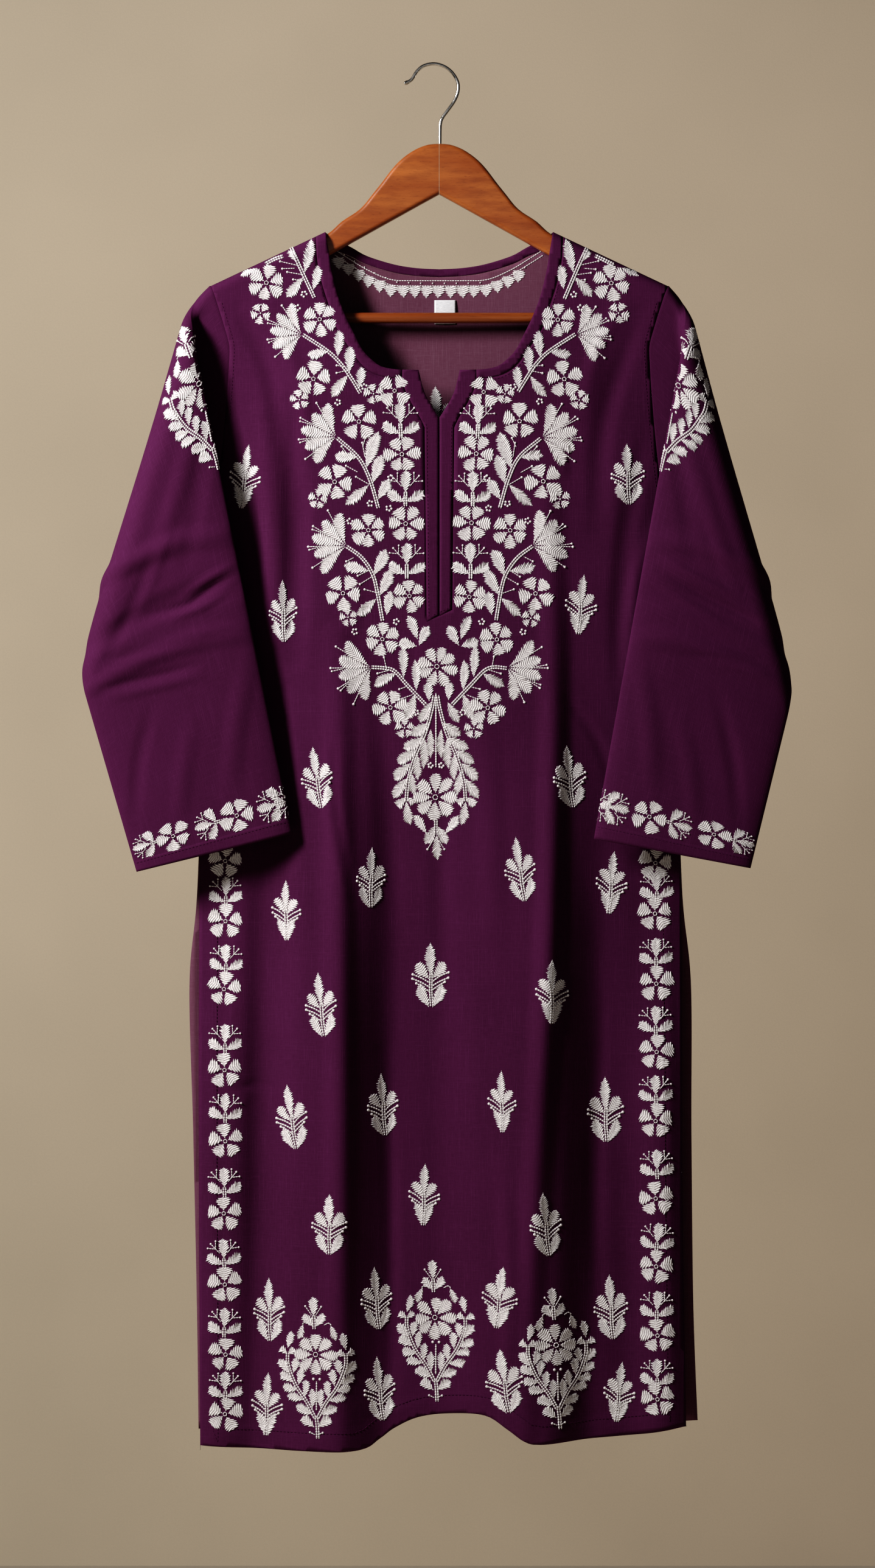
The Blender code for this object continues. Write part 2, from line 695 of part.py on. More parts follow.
def make_label():
    """Blank white tape label, just clear of the inside of the back."""
    columns = LABEL_STEPS
    rows = LABEL_STEPS
    shell = bmesh.new()
    grid = []
    for row in range(rows + 1):
        z = LABEL_TOP_Z - LABEL_HEIGHT * row / rows
        line = []
        for column in range(columns + 1):
            u = LABEL_LEFT + LABEL_WIDTH * column / columns
            y = back_depth(u, z) - WALL - LABEL_CLEARANCE - LABEL_WALL
            line.append(shell.verts.new((CENTRE_X + u, y, z)))
        grid.append(line)
    for upper, lower in zip(grid, grid[1:]):
        for index in range(columns):
            shell.faces.new((upper[index], lower[index], lower[index + 1], upper[index + 1]))
    mesh = bpy.data.meshes.new("size_label")
    shell.to_mesh(mesh)
    shell.free()
    target = add_object("size_label", mesh, white_cotton())
    thicken(target, LABEL_WALL)
    return target


def make_hanger_arm(side):
    """One arm, a flat board with rounded edges, met at the centre by the other."""
    covered = [Vector((v, shoulder_z(v) - CLOTH_OVER_WOOD)) for v in ARM_COVERED_TOP]
    visible = [Vector(p) for p in ARM_VISIBLE_TOP]
    top = spline(visible + covered, ARM_TOP_STEP)
    end = spline([covered[-1]] + [Vector(p) for p in ARM_END], ARM_END_STEP)
    underside = [Vector(p) for p in ARM_UNDERSIDE]
    outline = top + end[1:] + underside
    joint_x = CENTRE_X + side * HANGER_JOINT_GAP / 2.0
    shell = bmesh.new()
    corners = []
    for point in outline:
        x = CENTRE_X + side * point.x if point.x > 0.0 else joint_x
        corners.append(shell.verts.new((x, -HANGER_THICKNESS / 2.0, point.y)))
    face = shell.faces.new(corners)
    made = bmesh.ops.extrude_face_region(shell, geom=[face])["geom"]
    back = [part for part in made if isinstance(part, bmesh.types.BMVert)]
    bmesh.ops.translate(shell, verts=back, vec=(0.0, HANGER_THICKNESS, 0.0))
    bmesh.ops.recalc_face_normals(shell, faces=shell.faces)
    rounded = [
        edge for edge in shell.edges
        if abs(edge.verts[0].co.y - edge.verts[1].co.y) < 1e-6
        and any(abs(vert.co.x - joint_x) > 1e-6 for vert in edge.verts)
    ]
    bmesh.ops.bevel(
        shell, geom=rounded, offset=HANGER_EDGE_ROUND, segments=HANGER_ROUND_STEPS, profile=0.5, affect="EDGES")
    bmesh.ops.triangulate(shell, faces=[f for f in shell.faces if len(f.verts) > 4])
    mesh = bpy.data.meshes.new("hanger_arm")
    shell.to_mesh(mesh)
    shell.free()
    name = "hanger_arm_left" if side < 0 else "hanger_arm_right"
    return add_object(name, mesh, varnished_wood())


def make_trouser_bar():
    shell = bmesh.new()
    bmesh.ops.create_cone(
        shell, cap_ends=True, segments=BAR_SIDES, radius1=BAR_RADIUS, radius2=BAR_RADIUS,
        depth=2.0 * BAR_HALF_LENGTH)
    mesh = bpy.data.meshes.new("trouser_bar")
    shell.to_mesh(mesh)
    shell.free()
    target = add_object("trouser_bar", mesh, varnished_wood())
    target.rotation_euler = (0.0, math.radians(90.0), 0.0)
    target.location = (CENTRE_X, 0.0, BAR_Z)
    return target


def make_hook():
    """Bent wire hook with a small rounded tip, as one turned skin along its line."""
    line = spline([Vector(p) for p in HOOK_LINE], HOOK_STEP)
    stations = []
    travelled = 0.0
    for index, point in enumerate(line):
        before = line[max(0, index - 1)]
        after = line[min(len(line) - 1, index + 1)]
        if index:
            travelled += (point - before).length
        radius = WIRE_RADIUS
        if travelled < 2.0 * TIP_BALL_RADIUS:
            share = 1.0 - travelled / (2.0 * TIP_BALL_RADIUS)
            radius += (TIP_BALL_RADIUS - WIRE_RADIUS) * share
        stations.append((point, (after - before).normalized(), radius))
    tip, tip_way, tip_radius = stations[0]
    cap = [(tip - tip_way * tip_radius * TIP_CAP_REACH, tip_way, tip_radius * TIP_CAP_WIDTH)]
    shell = bmesh.new()
    rings = []
    for point, way, radius in cap + stations:
        ring = []
        for index in range(HOOK_SIDES):
            turn = 2.0 * math.pi * index / HOOK_SIDES
            across = math.cos(turn) * radius
            depth = math.sin(turn) * radius
            ring.append(shell.verts.new((
                point.x - way.y * across, depth, point.y + way.x * across)))
        rings.append(ring)
    for near, far in zip(rings, rings[1:]):
        for index in range(HOOK_SIDES):
            following = (index + 1) % HOOK_SIDES
            shell.faces.new((near[index], near[following], far[following], far[index]))
    shell.faces.new(rings[0][::-1])
    shell.faces.new(rings[-1])
    bmesh.ops.recalc_face_normals(shell, faces=shell.faces)
    mesh = bpy.data.meshes.new("hanger_hook")
    shell.to_mesh(mesh)
    shell.free()
    return add_object("hanger_hook", mesh, polished_steel())


def main():
    for leftover in list(bpy.data.objects):
        bpy.data.objects.remove(leftover)
    collection = bpy.data.collections.new(COLLECTION)
    bpy.context.scene.collection.children.link(collection)
    make_front_panel()
    make_back_panel()
    for side in (-1, 1):
        make_front_neck_band(side)
        make_placket(side)
        make_hanger_arm(side)
    make_back_neck_band()
    for row in SLEEVES:
        make_sleeve(*row)
    make_label()
    make_trouser_bar()
    make_hook()


main()
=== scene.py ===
"""Kurta tunic on a wooden hanger: the finished cloth, embroidery, wood and steel.

Metres, +Z up, front towards -Y. Cloth is laid out in (u, z): u runs to the right from the
garment's centre line, z is the height in the world. Embroidery tables are in millimetres.
"""

import math
import random

import bmesh
import bpy
import numpy as np
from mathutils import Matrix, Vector, geometry


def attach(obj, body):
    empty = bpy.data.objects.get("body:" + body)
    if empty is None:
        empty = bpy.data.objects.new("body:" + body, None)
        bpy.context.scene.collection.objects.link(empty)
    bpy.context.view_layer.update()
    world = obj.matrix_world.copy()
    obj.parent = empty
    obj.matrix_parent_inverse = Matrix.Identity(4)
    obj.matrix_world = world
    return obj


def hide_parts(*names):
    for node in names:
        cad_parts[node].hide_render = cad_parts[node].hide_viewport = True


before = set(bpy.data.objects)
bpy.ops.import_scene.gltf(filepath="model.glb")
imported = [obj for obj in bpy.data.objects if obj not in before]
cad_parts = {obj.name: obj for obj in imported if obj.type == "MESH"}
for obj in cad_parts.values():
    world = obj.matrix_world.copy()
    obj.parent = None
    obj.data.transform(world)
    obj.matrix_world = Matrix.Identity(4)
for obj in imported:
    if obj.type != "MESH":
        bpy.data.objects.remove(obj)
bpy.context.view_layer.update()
bpy.ops.object.select_all(action="DESELECT")
chance = random.Random(11)

MM = 0.001

# Garment sizes, half widths from the centre line
CENTRE_X = 0.0045
NECK_HALF = 0.1076
NECK_POINT_Z = -0.1575
SHOULDER_HALF = 0.2159
SHOULDER_TIP_Z = -0.2085
UNDERARM_HALF = 0.2193
UNDERARM_Z = -0.4635
SLIT_TOP_Z = -0.800
SHOULDER_SLOPE = (NECK_POINT_Z - SHOULDER_TIP_Z) / (SHOULDER_HALF - NECK_HALF)

# How far the hung cloth stands out from the plane of the hanger
SIDE_SEAM_DEPTH = 0.0015
SHOULDER_SEAM_DEPTH = 0.0006
OVER_ARM_DEPTH = 0.0100
FRONT_DEPTH = 0.0200
BACK_DEPTH = 0.0160
DEPTH_RUN = 0.160
CREASE_EDGE_SHARE = 0.10
CREASE_TOP_RUN = 0.03
ARMHOLE_CLOSE_RUN = 0.090
SLIT_OPEN_RUN = 0.150
FRONT_SLIT_DEPTH = 0.0085
BACK_SLIT_DEPTH = 0.0060

# Outlines of the right half; columns: half width, z
FRONT_NECK_EDGE = (
    (NECK_HALF, NECK_POINT_Z), (0.1042, -0.1775), (0.1013, -0.1953), (0.0956, -0.2188),
    (0.0881, -0.2388), (0.0795, -0.2566), (0.0721, -0.2709), (0.0629, -0.2807),
    (0.0549, -0.2864), (0.0445, -0.2888), (0.0350, -0.2896),
)
FRONT_NECK_SEAM = (
    (0.1168, None), (0.1151, -0.1867), (0.1110, -0.2067), (0.1042, -0.2285),
    (0.0973, -0.2491), (0.0853, -0.2681), (0.0738, -0.2841), (0.0629, -0.2925),
    (0.0497, -0.2967), (0.0350, -0.2978),
)
NOTCH_EDGE = (
    (0.0194, -0.2898), (0.0154, -0.3064), (0.0113, -0.3167), (0.0062, -0.3253), (0.0003, -0.3345),
)
NOTCH_SEAM = ((0.0350, -0.2978), (0.0325, -0.3080), (0.0260, -0.3215), (0.0175, -0.3360))
PLACKET_HALF_TOP = 0.0138
PLACKET_HALF_FOOT = 0.0120
PLACKET_TOP_Z = -0.3440
PLACKET_FOOT_Z = -0.5210
PLACKET_FOOT_SLANT = 0.0055
BACK_NECK_EDGE = (
    (NECK_HALF, NECK_POINT_Z), (0.0950, -0.1648), (0.0824, -0.1712), (0.0681, -0.1790),
    (0.0429, -0.1867), (0.0211, -0.1901), (0.0, -0.1911),
)
BACK_NECK_SEAM = (
    (0.1168, None), (0.0980, -0.1735), (0.0842, -0.1794), (0.0697, -0.1866),
    (0.0440, -0.1944), (0.0216, -0.1977), (0.0, -0.1987),
)
ARMHOLE = (
    (SHOULDER_HALF, SHOULDER_TIP_Z), (0.2119, -0.2188), (0.2022, -0.2503), (0.1981, -0.2669),
    (0.1987, -0.2853), (0.1999, -0.3059), (0.2039, -0.3540), (0.2107, -0.4110),
    (UNDERARM_HALF, UNDERARM_Z),
)

# Side edges below the underarm; columns: z, half width left, half width right
FRONT_SIDE = (
    (UNDERARM_Z, UNDERARM_HALF, UNDERARM_HALF), (-0.6200, 0.2240, 0.2250),
    (-0.7800, 0.2268, 0.2285), (-1.0500, 0.2268, 0.2293), (-1.2850, 0.2255, 0.2330),
)
BACK_SIDE = (
    (UNDERARM_Z, UNDERARM_HALF, UNDERARM_HALF), (-0.6200, 0.2240, 0.2250),
    (-0.7800, 0.2290, 0.2300), (-0.8700, 0.2365, 0.2385), (-1.0100, 0.2331, 0.2391),
    (-1.1700, 0.2297, 0.2408), (-1.2800, 0.2282, 0.2448),
)

# Hems, left to right; columns: u, z
FRONT_HEM = (
    (-0.2255, -1.3030), (-0.1900, -1.3045), (-0.1300, -1.3060), (-0.0750, -1.3050),
    (-0.0560, -1.2955), (-0.0420, -1.2855), (-0.0200, -1.2755), (0.0100, -1.2715),
    (0.0430, -1.2725), (0.0640, -1.2850), (0.0800, -1.2960), (0.0950, -1.2990),
    (0.1370, -1.2960), (0.1930, -1.2915), (0.2335, -1.2850),
)
BACK_HEM = (
    (-0.2280, -1.2900), (-0.1500, -1.2950), (-0.0500, -1.2840), (0.0000, -1.2780),
    (0.0500, -1.2790), (0.1500, -1.2880), (0.2450, -1.2820),
)

# Large hanging folds; columns: u at their top, u at the hem, width left, width right, height,
# z where the fold begins, z where it has its full height
FRONT_FOLDS = (
    (-0.080, -0.093, 0.088, 0.048, 0.0150, -0.50, -0.90),
    (0.112, 0.096, 0.110, 0.052, 0.0170, -0.56, -0.98),
    (-0.208, -0.212, 0.030, 0.036, 0.0050, -0.80, -1.05),
    (0.205, 0.214, 0.042, 0.030, 0.0060, -0.78, -1.00),
)
BACK_FOLDS = (
    (-0.120, -0.110, 0.060, 0.090, 0.0140, -0.45, -0.92),
    (0.030, 0.020, 0.050, 0.075, 0.0110, -0.60, -1.05),
    (0.140, 0.150, 0.070, 0.050, 0.0130, -0.48, -0.95),
)

# Small creases, in millimetres; columns: path of (u, z), half width, height. A trough has a
# height below zero. A pair of half widths is for the left and the right of the path.
FRONT_CREASES = (
    (((-96, -540), (-95, -760), (-94, -1000), (-96, -1300)), 18, 4.0),
    (((-72, -540), (-71, -760), (-70, -1000), (-72, -1300)), (22, 60), -4.4),
    (((-20, -600), (-16, -760), (-12, -1000), (-8, -1290)), (78, 52), -6.0),
    (((102, -420), (108, -560), (104, -800), (94, -1000), (86, -1150), (79, -1290)), 18, 4.0),
    (((122, -400), (128, -560), (124, -800), (114, -1000), (106, -1150), (99, -1290)),
     (22, 60), -5.0),
    (((182, -540), (180, -760), (178, -1000), (176, -1290)), (70, 40), -4.8),
    (((-164, -600), (-164, -900), (-168, -1295)), (20, 34), -4.4),
    (((-196, -620), (-192, -900), (-194, -1295)), (14, 16), 1.6),
    (((-166, -330), (-158, -420), (-156, -540)), 15, 3.0),
    (((-138, -320), (-134, -430), (-136, -560)), 16, -3.6),
    (((-190, -232), (-160, -292), (-148, -372)), 13, -2.0),
    (((-172, -222), (-146, -262), (-128, -330), (-132, -420)), 11, 1.5),
    (((-152, -214), (-134, -250)), 8, -0.9),
    (((192, -236), (166, -300), (152, -360), (150, -440)), 14, -2.1),
    (((176, -224), (150, -270), (134, -336)), 11, 1.5),
    (((-196, -330), (-176, -402), (-166, -500)), 12, -1.8),
    (((-204, -412), (-182, -472), (-168, -560), (-164, -660)), 13, 2.2),
    (((-214, -455), (-192, -520), (-184, -620)), 10, -1.7),
    (((200, -345), (180, -420), (170, -520), (172, -600)), 13, -2.0),
    (((210, -425), (186, -492), (176, -590)), 11, 1.9),
    (((216, -460), (198, -530), (192, -650)), 9, -1.6),
    (((-60, -560), (-52, -680), (-44, -800)), 16, -1.4),
    (((40, -600), (48, -720), (52, -860)), 18, 1.5),
    (((6, -640), (2, -760), (6, -900)), 14, -1.2),
    (((-140, -600), (-132, -720), (-128, -900)), 15, 1.2),
    (((-196, -968), (-174, -962), (-158, -966)), 5, -1.0),
    (((-198, -985), (-180, -978)), 4, 0.8),
    (((-12, -441), (2, -439), (12, -442)), 3.2, -0.5),
    (((-11, -456), (4, -453), (12, -455)), 3.0, -0.5),
    (((60, -1040), (66, -1150), (62, -1280)), 12, 1.8),
    (((150, -900), (146, -1040), (150, -1180)), 13, -1.4),
    (((-52, -930), (-46, -1080), (-44, -1260)), 11, -1.6),
    (((-99, -636), (-98, -690), (-91, -735), (-80, -790)), 5, -1.5),
    (((-106, -650), (-104, -710), (-96, -770)), 7, 1.1),
    (((-166, -560), (-158, -600), (-140, -622)), 5, -0.9),
    (((-178, -700), (-160, -716), (-140, -712)), 5, 0.8),
    (((120, -600), (150, -640), (168, -700)), 8, -1.1),
    (((-186, -500), (-176, -600), (-178, -720)), 12, -2.2),
    (((196, -560), (186, -660), (184, -760)), 11, -2.0),
)
BACK_CREASES = (
    (((-186, -240), (-160, -300), (-146, -390)), 14, -2.0),
    (((184, -238), (158, -302), (150, -400)), 13, -2.1),
    (((-205, -420), (-180, -500), (-168, -620)), 13, 2.1),
    (((208, -428), (184, -505), (176, -640)), 12, 2.0),
    (((-214, -470), (-196, -560), (-190, -700)), 10, -1.7),
    (((214, -468), (198, -560), (192, -690)), 10, -1.6),
    (((-40, -230), (-46, -420), (-40, -640)), 9, -1.3),
    (((60, -300), (52, -520), (58, -700)), 20, 1.6),
    (((-112, -800), (-112, -1020), (-108, -1290)), 20, 3.0),
    (((24, -850), (22, -1050), (20, -1276)), 18, 2.6),
    (((146, -820), (150, -1040), (152, -1286)), 20, 3.0),
    (((-40, -900), (-36, -1100), (-34, -1280)), 22, -2.6),
    (((92, -900), (90, -1080), (88, -1280)), 16, -2.2),
    (((-190, -860), (-186, -1060), (-186, -1290)), 16, -2.2),
)

# Sleeves, laid out flat and then folded forward; one row each. Angles are from straight down.
# Columns: side, fold angle, fold start half width, fold start z, top edge length,
# top edge angle, cuff width, cuff angle
SLEEVES = {
    "sleeve_left": (-1, 17.3, 0.2147, -0.2341, 0.5370, 46.0, 0.1505, 41.6),
    "sleeve_right": (1, 16.3, 0.2126, -0.2338, 0.5387, 42.9, 0.1498, 46.8),
}
SLEEVE_HALF_DEPTH = 0.0060
SLEEVE_FOLD_RADIUS = 0.0150
SLEEVE_CAP_RUN = 0.25
SLEEVE_FOLD_RUN = 0.10
SLEEVE_SEAM_GAP = 0.0005
SLEEVE_CREASE_RUN = 0.12
SLEEVE_HIDDEN_SHARE = 0.6
# Creases across a sleeve; columns: share of its length at the top edge and at the underarm edge,
# half width, height
SLEEVE_CREASES = (
    (0.470, 0.300, 0.030, 0.0032),
    (0.560, 0.430, 0.034, -0.0026),
    (0.640, 0.520, 0.030, 0.0028),
)

# Creases on the visible side of the sleeves, in millimetres of (half width, z), and on the
# hidden side; columns as for the panels
LEFT_SLEEVE_FRONT = (
    (((190, -482), (212, -494), (234, -511), (272, -521)), 5, -2.6),
    (((192, -473), (216, -487), (240, -502)), 5, 2.0),
    (((196, -496), (222, -514), (250, -524)), 5, 1.6),
    (((226, -568), (273, -580), (316, -590)), 5, -1.8),
    (((222, -578), (270, -590), (310, -599)), 6, 1.3),
    (((180, -535), (258, -551), (324, -566)), 7, -1.0),
    (((205, -300), (222, -380), (236, -470)), 13, -1.6),
    (((178, -560), (190, -620), (196, -690)), 14, 1.6),
    (((228, -340), (250, -420), (276, -500)), 12, 1.6),
    (((270, -610), (282, -660), (286, -720)), 10, -1.4),
    (((232, -620), (240, -670), (244, -720)), 12, 1.2),
    (((258, -440), (282, -500), (310, -560)), 9, -1.3),
)
RIGHT_SLEEVE_FRONT = (
    (((206, -479), (232, -494), (264, -510), (306, -531)), 5, -2.6),
    (((210, -468), (238, -484), (272, -500)), 5, 1.9),
    (((204, -492), (230, -508), (262, -524)), 6, 1.5),
    (((286, -498), (314, -500)), 4, -1.3),
    (((232, -557), (264, -562), (297, -569)), 6, -1.2),
    (((210, -300), (226, -390), (238, -470)), 12, -1.5),
    (((186, -560), (196, -620), (200, -690)), 14, 1.6),
    (((226, -340), (252, -420), (280, -500)), 12, 1.5),
    (((262, -600), (276, -660), (282, -720)), 10, -1.4),
    (((226, -620), (236, -670), (240, -730)), 12, 1.2),
)
SLEEVE_HIDDEN = (
    (((150, -560), (190, -600), (250, -650)), 10, -1.5),
    (((160, -640), (210, -668), (262, -680)), 9, 1.5),
    (((215, -320), (228, -400), (240, -500)), 12, -1.5),
    (((190, -430), (196, -520), (200, -600)), 13, 1.6),
)

# Cloth as it is sewn
CLOTH = 0.0006
BAND_RAISE = 0.0003
SEAM_LINE = 0.00012
HEM_BAND = 0.020
HEM_RAISE = 0.0006
HEM_STEP = 0.0014
CUFF_BAND = 0.0145
STITCH_LENGTH = 0.0026
STITCH_PITCH = 0.0034
STITCH_WIDTH = 0.00055
STITCH_HEIGHT = 0.00035
STITCH_BESIDE_STEP = 0.0014
STITCH_BESIDE_SEAM = 0.0022
STITCH_BESIDE_ARMHOLE = 0.0045

# Mesh spacing
FRONT_GRID = (0.0036, 0.0044)
BACK_GRID = (0.0048, 0.0060)
BAND_GRID = (0.0030, 0.0040)
GRID_HALF_WIDTH = 0.25
EDGE_ROOM_SHARE = 0.35
TOP_ROOM_SHARE = 0.3
ROLL_ROOM = 0.0003
GUIDE_STEP = 0.006
GUIDE_ROOM = 0.0020
GUIDE_EDGE_ROOM = 0.0010
GUIDE_BEFORE_STEP = 0.0002
GUIDE_AFTER_STEP = 0.0003
SLEEVE_RINGS = 170
SLEEVE_RING_SPREAD = 1.05
SLEEVE_AROUND = 60
SLEEVE_HALF_CLOTH = 0.18
SEAM_TUCK = 0.0030
SEAM_TUCK_DEPTH = 0.0010
EDGE_STEP = 0.0045
ROLL_DROPS = (0.0004, 0.0012, 0.0025, 0.0042, 0.0063, 0.0088, 0.0118)

# Embroidery
SATIN_PITCH = 0.0020
SATIN_HEIGHT = 0.0006
SATIN_EDGE = 0.0008
SATIN_TOOTH = 0.00105
SATIN_FULL_HALF = 0.0022
# How far along its outline a shape is widest, how blunt it is, and how its stitches slant
SATIN_KINDS = {
    "leaf": (0.86, 0.92, 0.80),
    "petal": (1.32, 0.66, 0.30),
    "fan": (1.42, 0.82, 0.50),
}
# Width of a petal for each number of petals, as a share of the flower's radius
PETAL_FILL = {4: 0.96, 5: 0.82, 6: 0.72, 7: 0.62, 8: 0.54}
SUNK = 0.0002
STEM_STEP = 0.0008
STEM_WIDTH = 0.0015
STEM_HEIGHT = 0.0007
STEM_SPACING = 0.0022
KNOT_RADIUS = 0.0015
KNOT_SIDES = 8
STRIP_COLUMNS = 5


def smooth(value):
    """Ease from 0 to 1."""
    value = np.clip(value, 0.0, 1.0)
    return value * value * (3.0 - 2.0 * value)


def fall(table, z, column):
    """Read a column of a table whose heights, in its first column, fall from row to row."""
    rows = np.array(table, dtype=float)
    return np.interp(-z, -rows[:, 0], rows[:, column])


def spline(points, step):
    """Points about one step apart along a smooth curve through the given points."""
    points = [np.array(p, dtype=float) for p in points]
    ends = [2 * points[0] - points[1]] + points + [2 * points[-1] - points[-2]]
    result = [points[0]]
    for before, start, end, after in zip(ends, ends[1:], ends[2:], ends[3:]):
        count = max(1, round(float(np.linalg.norm(end - start)) / step))
        for index in range(1, count + 1):
            t = index / count
            result.append(0.5 * (
                2 * start + (end - before) * t
                + (2 * before - 5 * start + 4 * end - after) * t ** 2
                + (3 * start - before - 3 * end + after) * t ** 3
            ))
    return np.array(result)


def lengths_along(line):
    """Distance from the start to each point of a polyline."""
    steps = np.linalg.norm(np.diff(line, axis=0), axis=1)
    return np.concatenate([[0.0], np.cumsum(steps)])


def sample_line(line, distances):
    """Points of a polyline at the given distances along it."""
    travelled = lengths_along(line)
    return np.column_stack([np.interp(distances, travelled, line[:, i]) for i in range(2)])


def offset_line(line, distance):
    """Move a polyline sideways, to the left of its own direction."""
    way = np.gradient(line, axis=0)
    way /= np.linalg.norm(way, axis=1)[:, None]
    return line + distance * np.column_stack([-way[:, 1], way[:, 0]])


def mirrored(line):
    """The same line on the other side of the centre."""
    return np.asarray(line) * (-1.0, 1.0)


def line_distance(points, line):
    """Distance of each point to a polyline, and where along it the nearest place is."""
    nearest = np.full(len(points), 9.0)
    place = np.zeros(len(points))
    travelled = lengths_along(line)
    for index, (start, end) in enumerate(zip(line, line[1:])):
        way = end - start
        length = max(float(np.linalg.norm(way)), 1e-9)
        share = np.clip((points - start) @ way / length ** 2, 0.0, 1.0)
        distance = np.linalg.norm(points - start - share[:, None] * way, axis=1)
        closer = distance < nearest
        nearest[closer] = distance[closer]
        place[closer] = travelled[index] + share[closer] * length
    return nearest, place / travelled[-1]


def crease_height(creases, u, z):
    """Sum of the small creases at each point; a pair of half widths is for left and right."""
    points = np.column_stack([u, z])
    height = np.zeros(len(points))
    for path, half, full in creases:
        line = spline(np.array(path) * MM, 0.02)
        halves = np.array((half, half) if np.isscalar(half) else half) * MM
        low = line.min(axis=0) - halves.max()
        high = line.max(axis=0) + halves.max()
        near = np.all((points > low) & (points < high), axis=1)
        if not near.any():
            continue
        distance, share = line_distance(points[near], line)
        reach = np.full(len(distance), halves[0])
        if halves[0] != halves[1]:
            middle = np.interp(-points[near][:, 1], -line[:, 1], line[:, 0])
            reach = np.where(points[near][:, 0] > middle, halves[1], halves[0])
        across = np.clip(1.0 - (distance / reach) ** 2, 0.0, 1.0) ** 2
        height[near] += full * MM * across * np.sin(math.pi * np.clip(share, 0.04, 0.96)) ** 0.6
    return height


def shoulder_z(half):
    """Height of the shoulder line, run on straight to the centre line."""
    return NECK_POINT_Z - SHOULDER_SLOPE * (half - NECK_HALF)


def on_shoulder(table):
    """Fill in the heights of table points that lie on the shoulder line."""
    return [(half, shoulder_z(half) if z is None else z) for half, z in table]


def panel_half(side_table, u, z):
    """Half width of a panel at a height, on the side of u."""
    armhole = fall([(row[1], row[0]) for row in ARMHOLE], z, 1)
    side = np.where(u < 0.0, fall(side_table, z, 1), fall(side_table, z, 2))
    below_tip = np.where(z > UNDERARM_Z, armhole, side)
    return np.where(z > SHOULDER_TIP_Z, SHOULDER_HALF, below_tip)


def edge_depth(z, slit_depth):
    """Depth of a panel at its armhole, side seam or slit edge."""
    rise = smooth((z - UNDERARM_Z) / ARMHOLE_CLOSE_RUN)
    above = SIDE_SEAM_DEPTH + (OVER_ARM_DEPTH - SIDE_SEAM_DEPTH) * rise
    opened = smooth((SLIT_TOP_Z - z) / SLIT_OPEN_RUN)
    below = SIDE_SEAM_DEPTH + (slit_depth - SIDE_SEAM_DEPTH) * opened
    return np.where(z > UNDERARM_Z, above, below)


def fold_height(folds, u, z):
    """Sum of the hanging folds at each point."""
    height = np.zeros_like(u)
    hem_z = FRONT_HEM[0][1]
    for top_u, hem_u, left, right, full, start_z, full_z in folds:
        crest = top_u + (hem_u - top_u) * (start_z - z) / (start_z - hem_z)
        reach = np.abs((u - crest) / np.where(u < crest, left, right))
        grown = smooth((start_z - z) / (start_z - full_z))
        wave = 0.5 * (1.0 + np.cos(math.pi * np.minimum(reach, 1.0)))
        height += full * grown * wave
    return height


class Panel:
    """The outer face of the front or the back: its depth, its creases and its turned hem."""

    def __init__(self, side_table, depth, slit_depth, folds, creases, facing, hem):
        self.side_table = side_table
        self.depth = depth
        self.slit_depth = slit_depth
        self.folds = folds
        self.creases = creases
        self.facing = facing
        self.hem_line = hem

    def out(self, u, z):
        """How far the face stands out from the hanger's plane."""
        drop = np.maximum(0.0, shoulder_z(np.abs(u)) - z)
        edge = edge_depth(z, self.slit_depth)
        middle = OVER_ARM_DEPTH + (self.depth - OVER_ARM_DEPTH) * smooth(drop / DEPTH_RUN)
        across = np.minimum(1.0, np.abs(u) / panel_half(self.side_table, u, z))
        depth = edge + (middle - edge) * (1.0 - across ** 3)
        slit = smooth((SLIT_TOP_Z - z) / SLIT_OPEN_RUN)
        depth += fold_height(self.folds, u, z) * (1.0 - (1.0 - slit) * across ** 6)
        free = smooth((1.0 - across) / CREASE_EDGE_SHARE) * smooth(drop / CREASE_TOP_RUN)
        depth += crease_height(self.creases, u, z) * np.maximum(free, slit)
        roll = np.minimum(1.0, drop / OVER_ARM_DEPTH)
        rolled = np.sqrt(1.0 - (1.0 - roll) ** 2)
        return SHOULDER_SEAM_DEPTH + (depth - SHOULDER_SEAM_DEPTH) * rolled

    def turned(self, u, z):
        """Extra thickness of the turned hem and slit edges."""
        near = z < SLIT_TOP_Z + HEM_BAND
        raised = np.zeros_like(u)
        if near.any():
            points = np.column_stack([u[near], z[near]])
            distance, _ = line_distance(points, self.hem_line)
            raised[near] = HEM_RAISE * smooth((HEM_BAND - distance) / HEM_STEP)
        return raised

    def face(self, u, z, lift=0.0):
        """World places of points of the face, moved out by lift."""
        u = np.asarray(u, dtype=float)
        z = np.asarray(z, dtype=float)
        out = self.out(u, z) + self.turned(u, z) + lift
        return np.column_stack([CENTRE_X + u, self.facing * out, z])

    def laid(self, points, heights):
        """World places of sewn work: flat points, raised square to the cloth."""
        u = points[:, 0]
        z = points[:, 1]
        reach = 0.0012
        here = self.face(u, z)
        right = self.face(u + reach, z) - here
        up = self.face(u, z + reach) - here
        normal = np.cross(up, right)
        normal /= np.linalg.norm(normal, axis=1)[:, None]
        normal *= (np.sign(normal[:, 1]) * self.facing)[:, None]
        return here + normal * heights[:, None]


